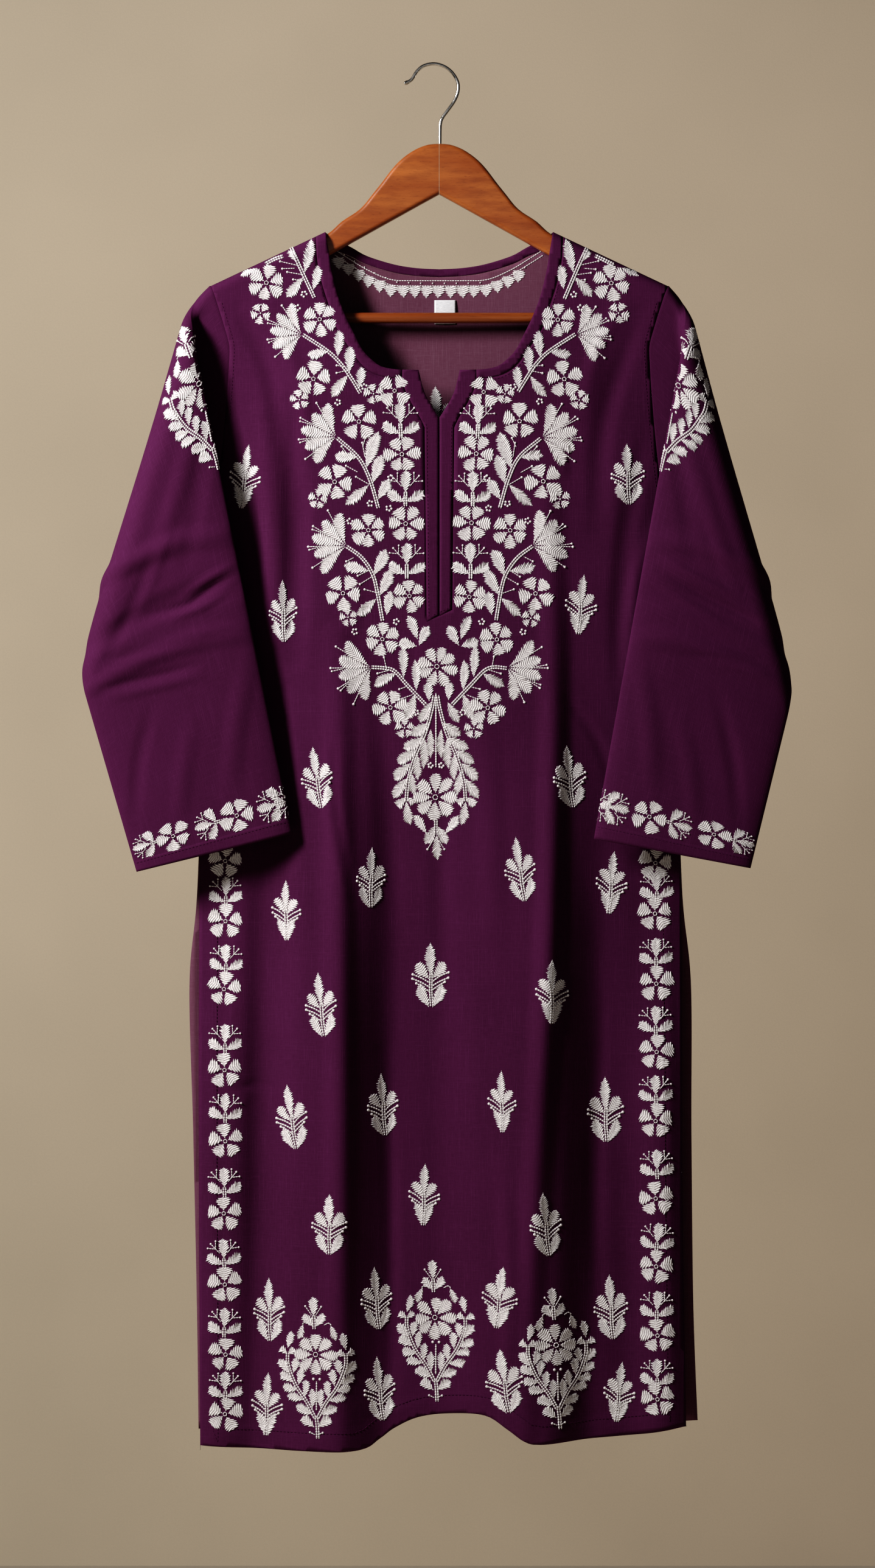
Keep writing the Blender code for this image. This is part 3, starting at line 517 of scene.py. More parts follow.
class Sleeve:
    """A tapered tube rolled forward over a slanted line.

    share runs from the armhole to the cuff. across runs from the top edge to the underarm edge,
    above zero on the half that faces forward once it is folded, below zero on the other.
    """

    def __init__(self, side, angle, start_half, start_z, length, top_angle, cuff, cuff_angle):
        self.side = side
        turned = math.radians(angle)
        self.out = np.array((math.cos(turned), math.sin(turned)))
        self.start = np.array((start_half, start_z))
        self.length = length
        self.armhole = spline(ARMHOLE, 0.004)
        top = math.radians(top_angle)
        inward = math.radians(cuff_angle)
        self.cuff_top = self.armhole[0] + length * np.array((math.sin(top), -math.cos(top)))
        self.cuff_foot = self.cuff_top + cuff * np.array((-math.sin(inward), -math.cos(inward)))
        self.shown = LEFT_SLEEVE_FRONT if side < 0 else RIGHT_SLEEVE_FRONT

    def flat(self, share, width):
        """Places at the armhole and on the flat sleeve, as (half width, z)."""
        whole = lengths_along(self.armhole)[-1]
        start = sample_line(self.armhole, whole * width)
        start[:, 0] += SLEEVE_SEAM_GAP * (1.0 + 1.6 * (1.0 - width) ** 8)
        end = self.cuff_top + (self.cuff_foot - self.cuff_top) * width[:, None]
        return start, start + (end - start) * share[:, None]

    def width_at(self, share):
        """Flat width of the sleeve from its top edge to its underarm edge."""
        zero = np.zeros_like(share)
        return np.linalg.norm(self.flat(share, zero + 1.0)[1] - self.flat(share, zero)[1], axis=1)

    def creases(self, share, width):
        """Height of the creases that run across the whole sleeve."""
        height = np.zeros_like(share)
        for top, under, half, full in SLEEVE_CREASES:
            reach = np.abs((share - top - (under - top) * width) / half)
            height += full * 0.5 * (1.0 + np.cos(math.pi * np.minimum(reach, 1.0)))
        return height * np.sqrt(np.sin(math.pi * np.clip(width, 0.0, 1.0)))

    def point(self, share, across, lift=0.0):
        """World places of points of the sleeve's outer face."""
        width = np.clip(np.abs(across), 0.0, 1.0)
        back = across > 0.0
        start, flat = self.flat(share, width)
        lens = np.sqrt(np.maximum(0.0, 1.0 - np.abs(2.0 * width - 1.0) ** 4))
        inner = (width > 0.0) & (width < 1.0)
        seam = np.where(
            back, back_panel.out(start[:, 0], start[:, 1]),
            front_panel.out(start[:, 0], start[:, 1])) * inner
        joined = smooth(share / SLEEVE_CAP_RUN)
        depth = seam + (SLEEVE_HALF_DEPTH * lens - seam) * joined + lift
        cuff_raise = HEM_RAISE * smooth((CUFF_BAND - (1.0 - share) * self.length) / HEM_STEP)
        depth += cuff_raise * lens
        depth += np.where(back, self.creases(share, width), 0.0)
        depth = np.where(back, depth, -depth)
        outward = (flat - self.start) @ self.out
        half_turn = math.pi * SLEEVE_FOLD_RADIUS
        angle = np.clip(outward, 0.0, half_turn) / SLEEVE_FOLD_RADIUS
        radius = SLEEVE_FOLD_RADIUS + depth
        reach = radius * np.sin(angle)
        y = -SLEEVE_FOLD_RADIUS + radius * np.cos(angle)
        beyond = outward > half_turn
        reach = np.where(beyond, half_turn - outward, reach)
        y = np.where(beyond, -2.0 * SLEEVE_FOLD_RADIUS - depth, y)
        base = flat - self.out * outward[:, None]
        rolled = base + self.out * reach[:, None]
        folded = (outward > 0.0)[:, None]
        rolled = np.where(folded, rolled, flat)
        y = np.where(outward > 0.0, y, depth)
        mix = smooth(share / SLEEVE_FOLD_RUN)
        half = flat[:, 0] + (rolled[:, 0] - flat[:, 0]) * mix
        z = flat[:, 1] + (rolled[:, 1] - flat[:, 1]) * mix
        y = depth + (y - depth) * mix
        ends = smooth(share / SLEEVE_CREASE_RUN) * lens
        shown = crease_height(self.shown, half, z) * ends
        hidden = crease_height(SLEEVE_HIDDEN, half, z) * ends
        y += np.where(beyond & back, -shown, 0.0)
        y += np.where(~back, hidden, 0.0) * SLEEVE_HIDDEN_SHARE
        return np.column_stack([CENTRE_X + self.side * half, y, z])

    def laid(self, points, heights):
        """World places of sewn work; points are metres across the top edge and down from it."""
        share = np.clip(points[:, 1] / self.length, 0.0, 1.0)
        across = points[:, 0] / self.width_at(share)
        step = 0.0010
        turn = step / self.width_at(share)
        here = self.point(share, across)
        beside = self.point(share, across + turn) - self.point(share, across - turn)
        below = self.point(share + step / self.length, across) - here
        normal = np.cross(beside, below) * -self.side
        normal /= np.maximum(np.linalg.norm(normal, axis=1), 1e-12)[:, None]
        return here + normal * heights[:, None]


def slit_and_hem(side_table, hem):
    """One line down the left slit, along the hem and up the right slit."""
    heights = np.linspace(SLIT_TOP_Z, side_table[-1][0], 12)
    left = np.column_stack([-fall(side_table, heights, 1), heights])
    right = np.column_stack([fall(side_table, heights, 2), heights])
    return np.concatenate([left[:-1], spline(hem, 0.012), right[::-1][1:]])


front_panel = Panel(
    FRONT_SIDE, FRONT_DEPTH, FRONT_SLIT_DEPTH, FRONT_FOLDS, FRONT_CREASES, -1.0,
    slit_and_hem(FRONT_SIDE, FRONT_HEM))
back_panel = Panel(
    BACK_SIDE, BACK_DEPTH, BACK_SLIT_DEPTH, BACK_FOLDS, BACK_CREASES, 1.0,
    slit_and_hem(BACK_SIDE, BACK_HEM))
sleeves = {name: Sleeve(*row) for name, row in SLEEVES.items()}


def connect(value, socket):
    """Link a computed value into a socket, or set the socket to a fixed one."""
    if isinstance(value, Shade):
        value.tree.links.new(value.socket, socket)
    else:
        socket.default_value = value


class Shade:
    """A shader socket on which sums are written as Python expressions."""

    def __init__(self, tree, socket):
        self.tree = tree
        self.socket = socket

    def node(self, kind, inputs, **settings):
        """Add a node: its settings first, then its inputs by socket name or number."""
        made = self.tree.nodes.new(kind)
        for key, value in settings.items():
            setattr(made, key, value)
        for key, value in inputs.items():
            connect(value, made.inputs[key])
        return made

    def take(self, made, output=0):
        """One output of a node, to go on from."""
        return Shade(self.tree, made.outputs[output])

    def maths(self, operation, first, second):
        """One sum or function of two values."""
        return self.take(self.node("ShaderNodeMath", {0: first, 1: second}, operation=operation))

    def __add__(self, other):
        return self.maths("ADD", self, other)

    __radd__ = __add__

    def __rsub__(self, other):
        return self.maths("SUBTRACT", other, self)

    def __mul__(self, other):
        return self.maths("MULTIPLY", self, other)

    __rmul__ = __mul__

    def across(self, axis):
        """One coordinate of a position."""
        return self.take(self.node("ShaderNodeSeparateXYZ", {0: self}), axis)

    def clamp(self, low, high):
        """Spread the range from low to high over 0 to 1."""
        return self.take(self.node("ShaderNodeMapRange", {0: self, 1: low, 2: high}))

    def noise(self, scale, stretch=(1.0, 1.0, 1.0), detail=3.0, roughness=0.5):
        """Noise over this position, scaled per axis."""
        spread = tuple(scale * part for part in stretch)
        placed = self.take(self.node("ShaderNodeMapping", {0: self, "Scale": spread}))
        return self.take(self.node("ShaderNodeTexNoise", {
            "Vector": placed, "Scale": 1.0, "Detail": detail, "Roughness": roughness}))

    def blend(self, first, second):
        """Mix two colours by this value."""
        first, second = (
            value if isinstance(value, Shade) else (*value, 1.0) for value in (first, second))
        made = self.node("ShaderNodeMix", {0: self, 6: first, 7: second}, data_type="RGBA")
        return self.take(made, 2)


def new_finish(name):
    """A material, its main shader, the place in space and the place on the cloth."""
    made = bpy.data.materials.new(name)
    made.use_nodes = True
    tree = made.node_tree
    shader = tree.nodes["Principled BSDF"]
    coordinates = tree.nodes.new("ShaderNodeTexCoord").outputs
    return made, shader, Shade(tree, coordinates["Object"]), Shade(tree, coordinates["UV"])


def finish_with(shader, colour, roughness, bump, strength, distance, fixed=None):
    """Link colour, roughness and a bump into the main shader, and set its fixed inputs."""
    connect(colour, shader.inputs["Base Color"])
    connect(roughness, shader.inputs["Roughness"])
    raised = bump.node(
        "ShaderNodeBump", {"Strength": strength, "Distance": distance, "Height": bump})
    connect(bump.take(raised), shader.inputs["Normal"])
    for name, value in (fixed or {}).items():
        shader.inputs[name].default_value = value


def cotton(name, deep, light, faded, sheen, sheen_tint):
    """Fine slubbed plain weave over the cloth's own length and width."""
    made, shader, _, cloth = new_finish(name)
    warp = cloth.noise(1.0, (2600.0, 150.0, 1.0), 2.0, 0.6)
    weft = cloth.noise(1.0, (130.0, 2300.0, 1.0), 2.0, 0.6)
    slub = cloth.noise(1.0, (900.0, 24.0, 1.0), 2.0, 0.6).clamp(0.52, 0.78)
    cross_slub = cloth.noise(1.0, (20.0, 760.0, 1.0), 2.0, 0.6).clamp(0.55, 0.80)
    weave = (warp + weft) * 0.5
    dye = cloth.noise(9.0, (1.0, 0.6, 1.0), 4.0, 0.55).clamp(0.30, 0.72)
    tone = dye.blend(deep, light)
    threads = weave.clamp(0.36, 0.64) * 0.45 + slub * 0.35 + cross_slub * 0.28
    colour = threads.blend(tone, faded)
    finish_with(shader, colour, weave * 0.20 + 0.76, weave + slub * 0.5, 0.35, 0.0004, {
        "Sheen Weight": sheen, "Sheen Roughness": 0.45, "Sheen Tint": (*sheen_tint, 1.0),
        "Specular IOR Level": 0.06})
    return made


def thread(name, shadow, body, bright):
    """Loose white cotton thread: the cloth's colour shows faintly between the stitches, and the
    valleys between them are darkened as painted shade.
    """
    made, shader, place, laid = new_finish(name)
    stitch = laid.across(0) * (2.0 * math.pi)
    beat = stitch.maths("COSINE", stitch, 0.0)
    valley = beat * -0.5 + 0.5
    parted = laid.noise(1.0, (0.55, 900.0, 1.0), 2.0, 0.6).clamp(0.36, 0.62)
    fibre = laid.noise(1.0, (5.0, 90.0, 1.0), 2.0, 0.6)
    strand = laid.noise(1.0, (1.1, 60.0, 1.0), 2.0, 0.7).clamp(0.36, 0.64)
    mottle = place.noise(520.0, (1.0, 1.0, 1.0), 2.0, 0.6).clamp(0.34, 0.66)
    soil = place.noise(14.0, (1.0, 1.0, 1.0), 3.0, 0.5).clamp(0.35, 0.70)
    # Painted shade: the valleys between stitches darken towards the shadow colour; random streaks
    # and mottling are added on top.
    stitch_streaks_and_painted_shade = valley * valley * parted * 0.62 + strand * 0.20 + mottle * 0.16
    tone = (soil * 0.6).blend(body, bright)
    colour = stitch_streaks_and_painted_shade.clamp(0.0, 1.0).blend(tone, shadow)
    finish_with(shader, colour, 0.82, beat * 0.5 + fibre * 0.8, 0.75, 0.0004, {
        "Sheen Weight": 0.08, "Specular IOR Level": 0.2})
    return made


def scaled(values, factor):
    """Each value times a factor."""
    return tuple(factor * value for value in values)


def varnished_wood(name, along, painted_shade_level):
    """Red-brown wood under a satin varnish; along stretches its grain on each axis. Every colour is
    scaled by the level, as painted shade for wood that is lit less.
    """
    # Painted shade: each stained colour is scaled down by the level.
    def stain_in_painted_shade(*colour):
        return scaled(colour, painted_shade_level)

    made, shader, place, _ = new_finish(name)
    grain = place.noise(1.0, along, 5.0, 0.62)
    pores = place.noise(1.0, scaled(along, 4.5), 2.0, 0.7)
    bands = place.noise(1.0, scaled(along, 0.22), 3.0, 0.5)
    tone = bands.clamp(0.32, 0.68).blend(stain_in_painted_shade(0.260, 0.058, 0.014), stain_in_painted_shade(0.400, 0.112, 0.030))
    tone = (grain.clamp(0.42, 0.72) * 0.55).blend(tone, stain_in_painted_shade(0.150, 0.030, 0.008))
    colour = (pores.clamp(0.58, 0.74) * 0.45).blend(tone, stain_in_painted_shade(0.085, 0.018, 0.006))
    finish_with(shader, colour, grain * 0.16 + 0.26, grain + pores * 0.6, 0.22, 0.0005, {
        "Coat Weight": 0.35, "Coat Roughness": 0.18})
    return made


def steel(name):
    """Bright bent wire, with fine drawn lines and light handling marks."""
    made, shader, place, _ = new_finish(name)
    drawn = place.noise(1.0, (260.0, 1900.0, 260.0), 2.0, 0.6)
    marks = place.noise(340.0, (1.0, 1.0, 1.0), 3.0, 0.6).clamp(0.40, 0.70)
    colour = marks.blend((0.64, 0.61, 0.57), (0.80, 0.77, 0.73))
    finish_with(shader, colour, marks * 0.12 + 0.14, drawn, 0.12, 0.0002, {"Metallic": 1.0})
    return made


def tape(name):
    """White woven tape with a fine rib."""
    made, shader, _, cloth = new_finish(name)
    rib = cloth.noise(1.0, (300.0, 3200.0, 1.0), 2.0, 0.5)
    colour = rib.clamp(0.35, 0.65).blend((0.60, 0.60, 0.63), (0.80, 0.80, 0.82))
    finish_with(shader, colour, 0.7, rib, 0.5, 0.0003)
    return made


def plain_stage(name, left, right, weave):
    """A dull surface of soft clouds, seen from its front alone; its colour drifts across it, and it
    is darkened towards the -Y end of the plane (the foot of the wall) as painted shade.
    """
    made, shader, place, _ = new_finish(name)
    grain = place.noise(1.0, (weave, weave, weave * 0.4), 3.0, 0.6)
    cloud = place.noise(2.2, (1.0, 1.0, 0.5), 3.0, 0.5)
    drift = place.across(0).clamp(-0.60, 0.60)
    tone = drift.blend(left, right)
    # Painted shade: darker towards the foot of the wall.
    low = place.across(1).clamp(0.10, -0.75)
    tone = (low * 0.10 + cloud.clamp(0.3, 0.7) * 0.14).blend(tone, scaled(left, 0.25))
    tone = (grain.clamp(0.35, 0.65) * 0.06).blend(tone, scaled(left, 0.4))
    finish_with(shader, tone, 0.9, grain, 0.15, 0.001)
    behind = place.take(place.node("ShaderNodeNewGeometry", {}), "Backfacing")
    connect(1.0 - behind, shader.inputs["Alpha"])
    return made


PLUM = cotton(
    "plum_cotton_outer", (0.050, 0.0095, 0.035), (0.066, 0.0125, 0.047),
    (0.092, 0.0220, 0.070), 0.02, (0.50, 0.12, 0.38))
# Inner faces: the cloth's greyer wrong side, made lighter as painted light shining through the thin
# cloth.
PLUM_INSIDE_PAINTED_BACKLIGHT = cotton(
    "plum_cotton_inside_painted_backlight", (0.103, 0.036, 0.060), (0.120, 0.045, 0.073),
    (0.172, 0.084, 0.120), 0.05, (0.70, 0.50, 0.60))
PLUM_THREAD = cotton(
    "plum_sewing_thread", (0.054, 0.0090, 0.036), (0.070, 0.0120, 0.048),
    (0.098, 0.0220, 0.074), 0.02, (0.50, 0.12, 0.35))
WHITE = thread(
    "white_embroidery_thread", (0.220, 0.140, 0.185), (0.890, 0.870, 0.860),
    (0.950, 0.935, 0.920))
WOOD_ARMS = varnished_wood("hanger_arm_wood", (36.0, 120.0, 190.0), 1.0)
# The bar's wood is the arms' wood made darker: painted shade for a bar that is lit less.
WOOD_BAR_PAINTED_SHADE = varnished_wood("hanger_bar_wood_painted_shade", (16.0, 260.0, 260.0), 0.75)
STEEL = steel("hook_steel")
TAPE = tape("label_tape")


def mesh_piece(name, points, faces, materials, uvs=None, smooth_faces=True):
    """A new object from points and faces, with an optional place on the cloth per point."""
    mesh = bpy.data.meshes.new(name)
    mesh.from_pydata(np.asarray(points).tolist(), [], [list(map(int, face)) for face in faces])
    for finish in materials:
        mesh.materials.append(finish)
    if uvs is not None:
        layer = mesh.uv_layers.new(name="cloth")
        loops = np.zeros(len(mesh.loops), dtype=np.int32)
        mesh.loops.foreach_get("vertex_index", loops)
        layer.data.foreach_set("uv", np.asarray(uvs, dtype=np.float32)[loops].ravel())
    mesh.polygons.foreach_set("use_smooth", [smooth_faces] * len(mesh.polygons))
    mesh.update()
    made = bpy.data.objects.new(name, mesh)
    bpy.context.scene.collection.objects.link(made)
    return made


def pick(piece):
    """Make a piece the active one and the only one selected."""
    bpy.ops.object.select_all(action="DESELECT")
    piece.select_set(True)
    bpy.context.view_layer.objects.active = piece


def apply_modifiers(piece):
    """Turn what a piece's modifiers make into its own mesh."""
    pick(piece)
    for modifier in list(piece.modifiers):
        bpy.ops.object.modifier_apply(modifier=modifier.name)


def stand_for(piece, node):
    """Let a piece ride on the one body and take the place of a plain solid."""
    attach(piece, "root")
    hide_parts(node)
    return piece


def thicken(piece, wall, inner_index=1):
    """Grow a wall inwards from the outer face, with the finish of the given number inside."""
    shell = piece.modifiers.new("wall", "SOLIDIFY")
    shell.thickness = wall
    shell.offset = -1.0
    shell.material_offset = inner_index
    apply_modifiers(piece)


def inside(outline, points):
    """Which points lie within a closed outline."""
    within = np.zeros(len(points), dtype=bool)
    x = points[:, 0]
    y = points[:, 1]
    for start, end in zip(outline, np.roll(outline, -1, axis=0)):
        if start[1] == end[1]:
            continue
        crosses = (start[1] > y) != (end[1] > y)
        at = start[0] + (y - start[1]) * (end[0] - start[0]) / (end[1] - start[1])
        within ^= crosses & (x < at)
    return within


def cloth_points(outline, grid, guides):
    """Points inside an outline: a grid, rows below the shoulder line, and guide lines."""
    step_u, step_z = grid
    lowest = outline[:, 1].min()
    found = []
    reach = math.ceil(GRID_HALF_WIDTH / step_u)
    columns = np.arange(-reach, reach + 1) * step_u
    for index, u in enumerate(columns):
        top = float(shoulder_z(abs(u)))
        drops = list(ROLL_DROPS) + list(np.arange(
            ROLL_DROPS[-1] + step_z * (0.5 + 0.5 * (index % 2)), top - lowest, step_z))
        found.append(np.column_stack([np.full(len(drops), u), top - np.array(drops)]))
    found = np.concatenate(found)
    found = found[inside(outline, found)]
    closed = np.concatenate([outline, outline[:1]])
    distance, _ = line_distance(found, closed)
    drop = shoulder_z(np.abs(found[:, 0])) - found[:, 1]
    in_roll = drop < ROLL_DROPS[-1] * 1.02
    found = found[distance > np.where(in_roll, ROLL_ROOM, EDGE_ROOM_SHARE * step_u)]
    for guide in guides:
        distance, _ = line_distance(found, guide)
        found = found[distance > GUIDE_ROOM]
        held = guide[inside(outline, guide)]
        distance, _ = line_distance(held, closed)
        found = np.concatenate([found, held[distance > GUIDE_EDGE_ROOM]])
    return found


def cloth_piece(name, outline, grid, panel, lift, wall, node, guides=(), lining=None):
    """A cut piece of cloth laid on a panel's surface."""
    outline = np.asarray(outline)
    points = np.concatenate([outline, cloth_points(outline, grid, guides)])
    count = len(outline)
    edges = [(index, (index + 1) % count) for index in range(count)]
    flat = [Vector(point) for point in points]
    verts, _, faces, *_ = geometry.delaunay_2d_cdt(flat, edges, [], 1, 1e-7)
    laid = np.array([tuple(v) for v in verts])
    placed = panel.face(laid[:, 0], laid[:, 1], lift)
    a, b, c = (laid[faces[0][i]] for i in range(3))
    turn = (b[0] - a[0]) * (c[1] - a[1]) - (b[1] - a[1]) * (c[0] - a[0])
    if turn * panel.facing > 0.0:
        faces = [face[::-1] for face in faces]
    piece = mesh_piece(name, placed, faces, (PLUM, lining or PLUM_INSIDE_PAINTED_BACKLIGHT), laid)
    thicken(piece, wall)
    return stand_for(piece, node)


def with_roll(line):
    """Add points just below the shoulder line, where the cloth rolls over the arm."""
    near = sample_line(line, np.array(ROLL_DROPS))
    far = line[lengths_along(line) > ROLL_DROPS[-1] * 1.3]
    return np.concatenate([line[:1], near, far])


def half_top(neck_seam, step_u):
    """Neck seam, shoulder and armhole of the right half, from the neck outwards and down."""
    seam = with_roll(spline(on_shoulder(neck_seam), EDGE_STEP))
    armhole = with_roll(spline(ARMHOLE, EDGE_STEP))
    first = math.ceil((seam[0][0] + TOP_ROOM_SHARE * step_u) / step_u)
    last = math.floor((SHOULDER_HALF - TOP_ROOM_SHARE * step_u) / step_u)
    columns = np.arange(first, last + 1) * step_u
    shoulder = np.column_stack([columns, shoulder_z(columns)])
    return np.concatenate([seam[::-1], shoulder, armhole])


def side_edge(side_table, side, corner):
    """One side edge from the underarm down to its hem corner."""
    column = 1 if side < 0 else 2
    return spline([(side * row[column], row[0]) for row in side_table] + [corner], EDGE_STEP)


def placket_line(side):
    """Outer edge of a placket strip from the notch down, drawn on the right half."""
    top = (PLACKET_HALF_TOP, PLACKET_TOP_Z)
    foot = (PLACKET_HALF_FOOT, PLACKET_FOOT_Z + side * PLACKET_FOOT_SLANT)
    straight = np.linspace(top, foot, 24)[1:]
    return np.concatenate([spline(list(NOTCH_SEAM) + [top], EDGE_STEP), straight])


def hem_guides(panel):
    """Lines on both sides of the step where the turned hem ends."""
    line = sample_line(
        panel.hem_line, np.arange(0.0, lengths_along(panel.hem_line)[-1], GUIDE_STEP))
    return [
        offset_line(line, HEM_BAND - HEM_STEP - GUIDE_BEFORE_STEP),
        offset_line(line, HEM_BAND + GUIDE_AFTER_STEP)]


def panel_outline(side_table, hem, right, left):
    """Hem, right side, right top, then what is given of the left, and the left side."""
    return np.concatenate([
        spline(hem, EDGE_STEP)[:-1], side_edge(side_table, 1, hem[-1])[::-1][:-1],
        right[::-1][:-1], *left, side_edge(side_table, -1, hem[0])[:-1]])


def make_front():
    """The front, cut round the neck binding and the placket."""
    right = half_top(FRONT_NECK_SEAM, FRONT_GRID[0])
    plackets = [placket_line(1), mirrored(placket_line(-1))[::-1]]
    outline = panel_outline(
        FRONT_SIDE, FRONT_HEM, right, plackets + [mirrored(right)[1:-1]])
    return cloth_piece(
        "kurta_front", outline, FRONT_GRID, front_panel, 0.0, CLOTH, "front_panel",
        hem_guides(front_panel))


def make_back():
    """The back, in one cut."""
    right = half_top(BACK_NECK_SEAM, BACK_GRID[0])
    outline = panel_outline(BACK_SIDE, BACK_HEM, right, [mirrored(right)[:-1]])
    return cloth_piece(
        "kurta_back", outline, BACK_GRID, back_panel, 0.0, CLOTH, "back_panel",
        hem_guides(back_panel))


def make_front_band(side):
    """One side of the front neck's binding."""
    edge = with_roll(spline(FRONT_NECK_EDGE, EDGE_STEP))
    seam = offset_line(with_roll(spline(on_shoulder(FRONT_NECK_SEAM), EDGE_STEP)), -SEAM_LINE)
    seam[0][1] = shoulder_z(seam[0][0])
    seam[-1][0] = edge[-1][0]
    outline = np.concatenate([edge, seam[::-1]])
    name = "left" if side < 0 else "right"
    return cloth_piece(
        "neck_binding_front_" + name, outline * (side, 1.0), BAND_GRID, front_panel, BAND_RAISE,
        CLOTH + BAND_RAISE, "neck_band_front_" + name, lining=PLUM)


def make_back_band():
    """The back neck's binding, in one length."""
    edge = with_roll(spline(BACK_NECK_EDGE, EDGE_STEP))
    seam = offset_line(with_roll(spline(on_shoulder(BACK_NECK_SEAM), EDGE_STEP)), -SEAM_LINE)
    seam[0][1] = shoulder_z(seam[0][0])
    seam[-1][0] = 0.0
    outline = np.concatenate([
        edge, mirrored(edge[:-1])[::-1], mirrored(seam[:-1]), seam[::-1]])
    return cloth_piece(
        "neck_binding_back", outline, BAND_GRID, back_panel, BAND_RAISE, CLOTH + BAND_RAISE,
        "neck_band_back", lining=PLUM)


def make_placket(side):
    """One strip of the placket, with its side of the notch."""
    notch = spline(NOTCH_EDGE, EDGE_STEP * 0.6)
    outer = offset_line(placket_line(side), -SEAM_LINE)
    band_end, band_z = FRONT_NECK_EDGE[-1]
    outer[0][0] = band_end - SEAM_LINE
    corner = np.array([(band_end - SEAM_LINE, band_z)])
    outer[-1][1] += SEAM_LINE
    foot = (notch[-1][0], PLACKET_FOOT_Z + SEAM_LINE)
    slit = np.linspace(notch[-1], foot, 40)[1:]
    outline = np.concatenate([notch, slit, outer[::-1], corner])
    name = "left" if side < 0 else "right"
    return cloth_piece(
        "placket_strip_" + name, outline * (side, 1.0), BAND_GRID, front_panel, BAND_RAISE,
        CLOTH + BAND_RAISE, "placket_" + name, lining=PLUM)


def make_sleeve(name):
    """The sleeve's tube, closed at neither end, as rings from the armhole to the cuff."""
    sleeve = sleeves[name]
    turn = np.linspace(0.0, math.pi, SLEEVE_AROUND + 1)
    width = 0.5 - 0.5 * np.cos(turn)
    across = np.concatenate([-width, width[-2:0:-1]])
    around = len(across)
    share = (np.arange(SLEEVE_RINGS + 1) / SLEEVE_RINGS) ** SLEEVE_RING_SPREAD
    cuff_step = 1.0 - (CUFF_BAND - np.array((HEM_STEP, 0.0, -0.0012))) / sleeve.length
    share = np.sort(np.concatenate([share, cuff_step]))
    share = share[np.concatenate([[True], np.diff(share) > 1e-4])]
    all_share = np.repeat(share, around)
    all_across = np.tile(across, len(share))
    points = sleeve.point(all_share, all_across)
    tucked = points[:around] - (sleeve.side * SEAM_TUCK, 0.0, 0.0)
    tucked[:, 1] -= np.sign(all_across[:around]) * SEAM_TUCK_DEPTH
    points = np.concatenate([tucked, points])
    faces = []
    for ring in range(len(share)):
        for index in range(around):
            following = (index + 1) % around
            corners = (
                ring * around + index, ring * around + following,
                (ring + 1) * around + following, (ring + 1) * around + index)
            faces.append(corners if sleeve.side > 0 else corners[::-1])
    flat_u = np.concatenate([all_across[:around], all_across]) * SLEEVE_HALF_CLOTH
    flat_v = np.concatenate([np.full(around, -SEAM_TUCK), all_share * sleeve.length])
    uvs = np.column_stack([flat_u, flat_v])
    piece = mesh_piece("kurta_" + name, points, faces, (PLUM, PLUM_INSIDE_PAINTED_BACKLIGHT), uvs)
    thicken(piece, CLOTH)
    return stand_for(piece, name)


# Half of a paisley's wreath in its own millimetres; columns: base, tip, width
PAISLEY_LEAVES = (
    (13, 41, 18, 27, 6.5),
    (27.5, 18, 24, 34, 6.5), (28, 12, 35, 17, 6.5), (27, 12, 20.5, 17, 6.5),
    (25, -6, 36, 7, 8), (21.5, -14, 35, -6, 8), (18, -21, 32, -18, 8), (12, -30, 28, -27, 8),
    (4, -43, 19.5, -36, 8.5), (2, -55, 13.5, -46, 9), (22, -5, 19.5, 9, 7),
    (17, -16, 15, 0, 7), (11, -27, 10, -11, 7), (4, -37, 4.5, -19, 7),
)


def heading_of(angle):
    """A step of length 1 in the direction of an angle."""
    return np.array((math.cos(angle), math.sin(angle)))


def motif_places(centre, size, turn, wide=1.0):
    """A function that gives the place on the cloth of a motif's own millimetres."""
    centre = np.array(centre, dtype=float)
    angle = math.radians(turn)

    def at(x, y):
        x *= wide
        return centre + size * np.array((
            x * math.cos(angle) - y * math.sin(angle),
            x * math.sin(angle) + y * math.cos(angle)))

    return at


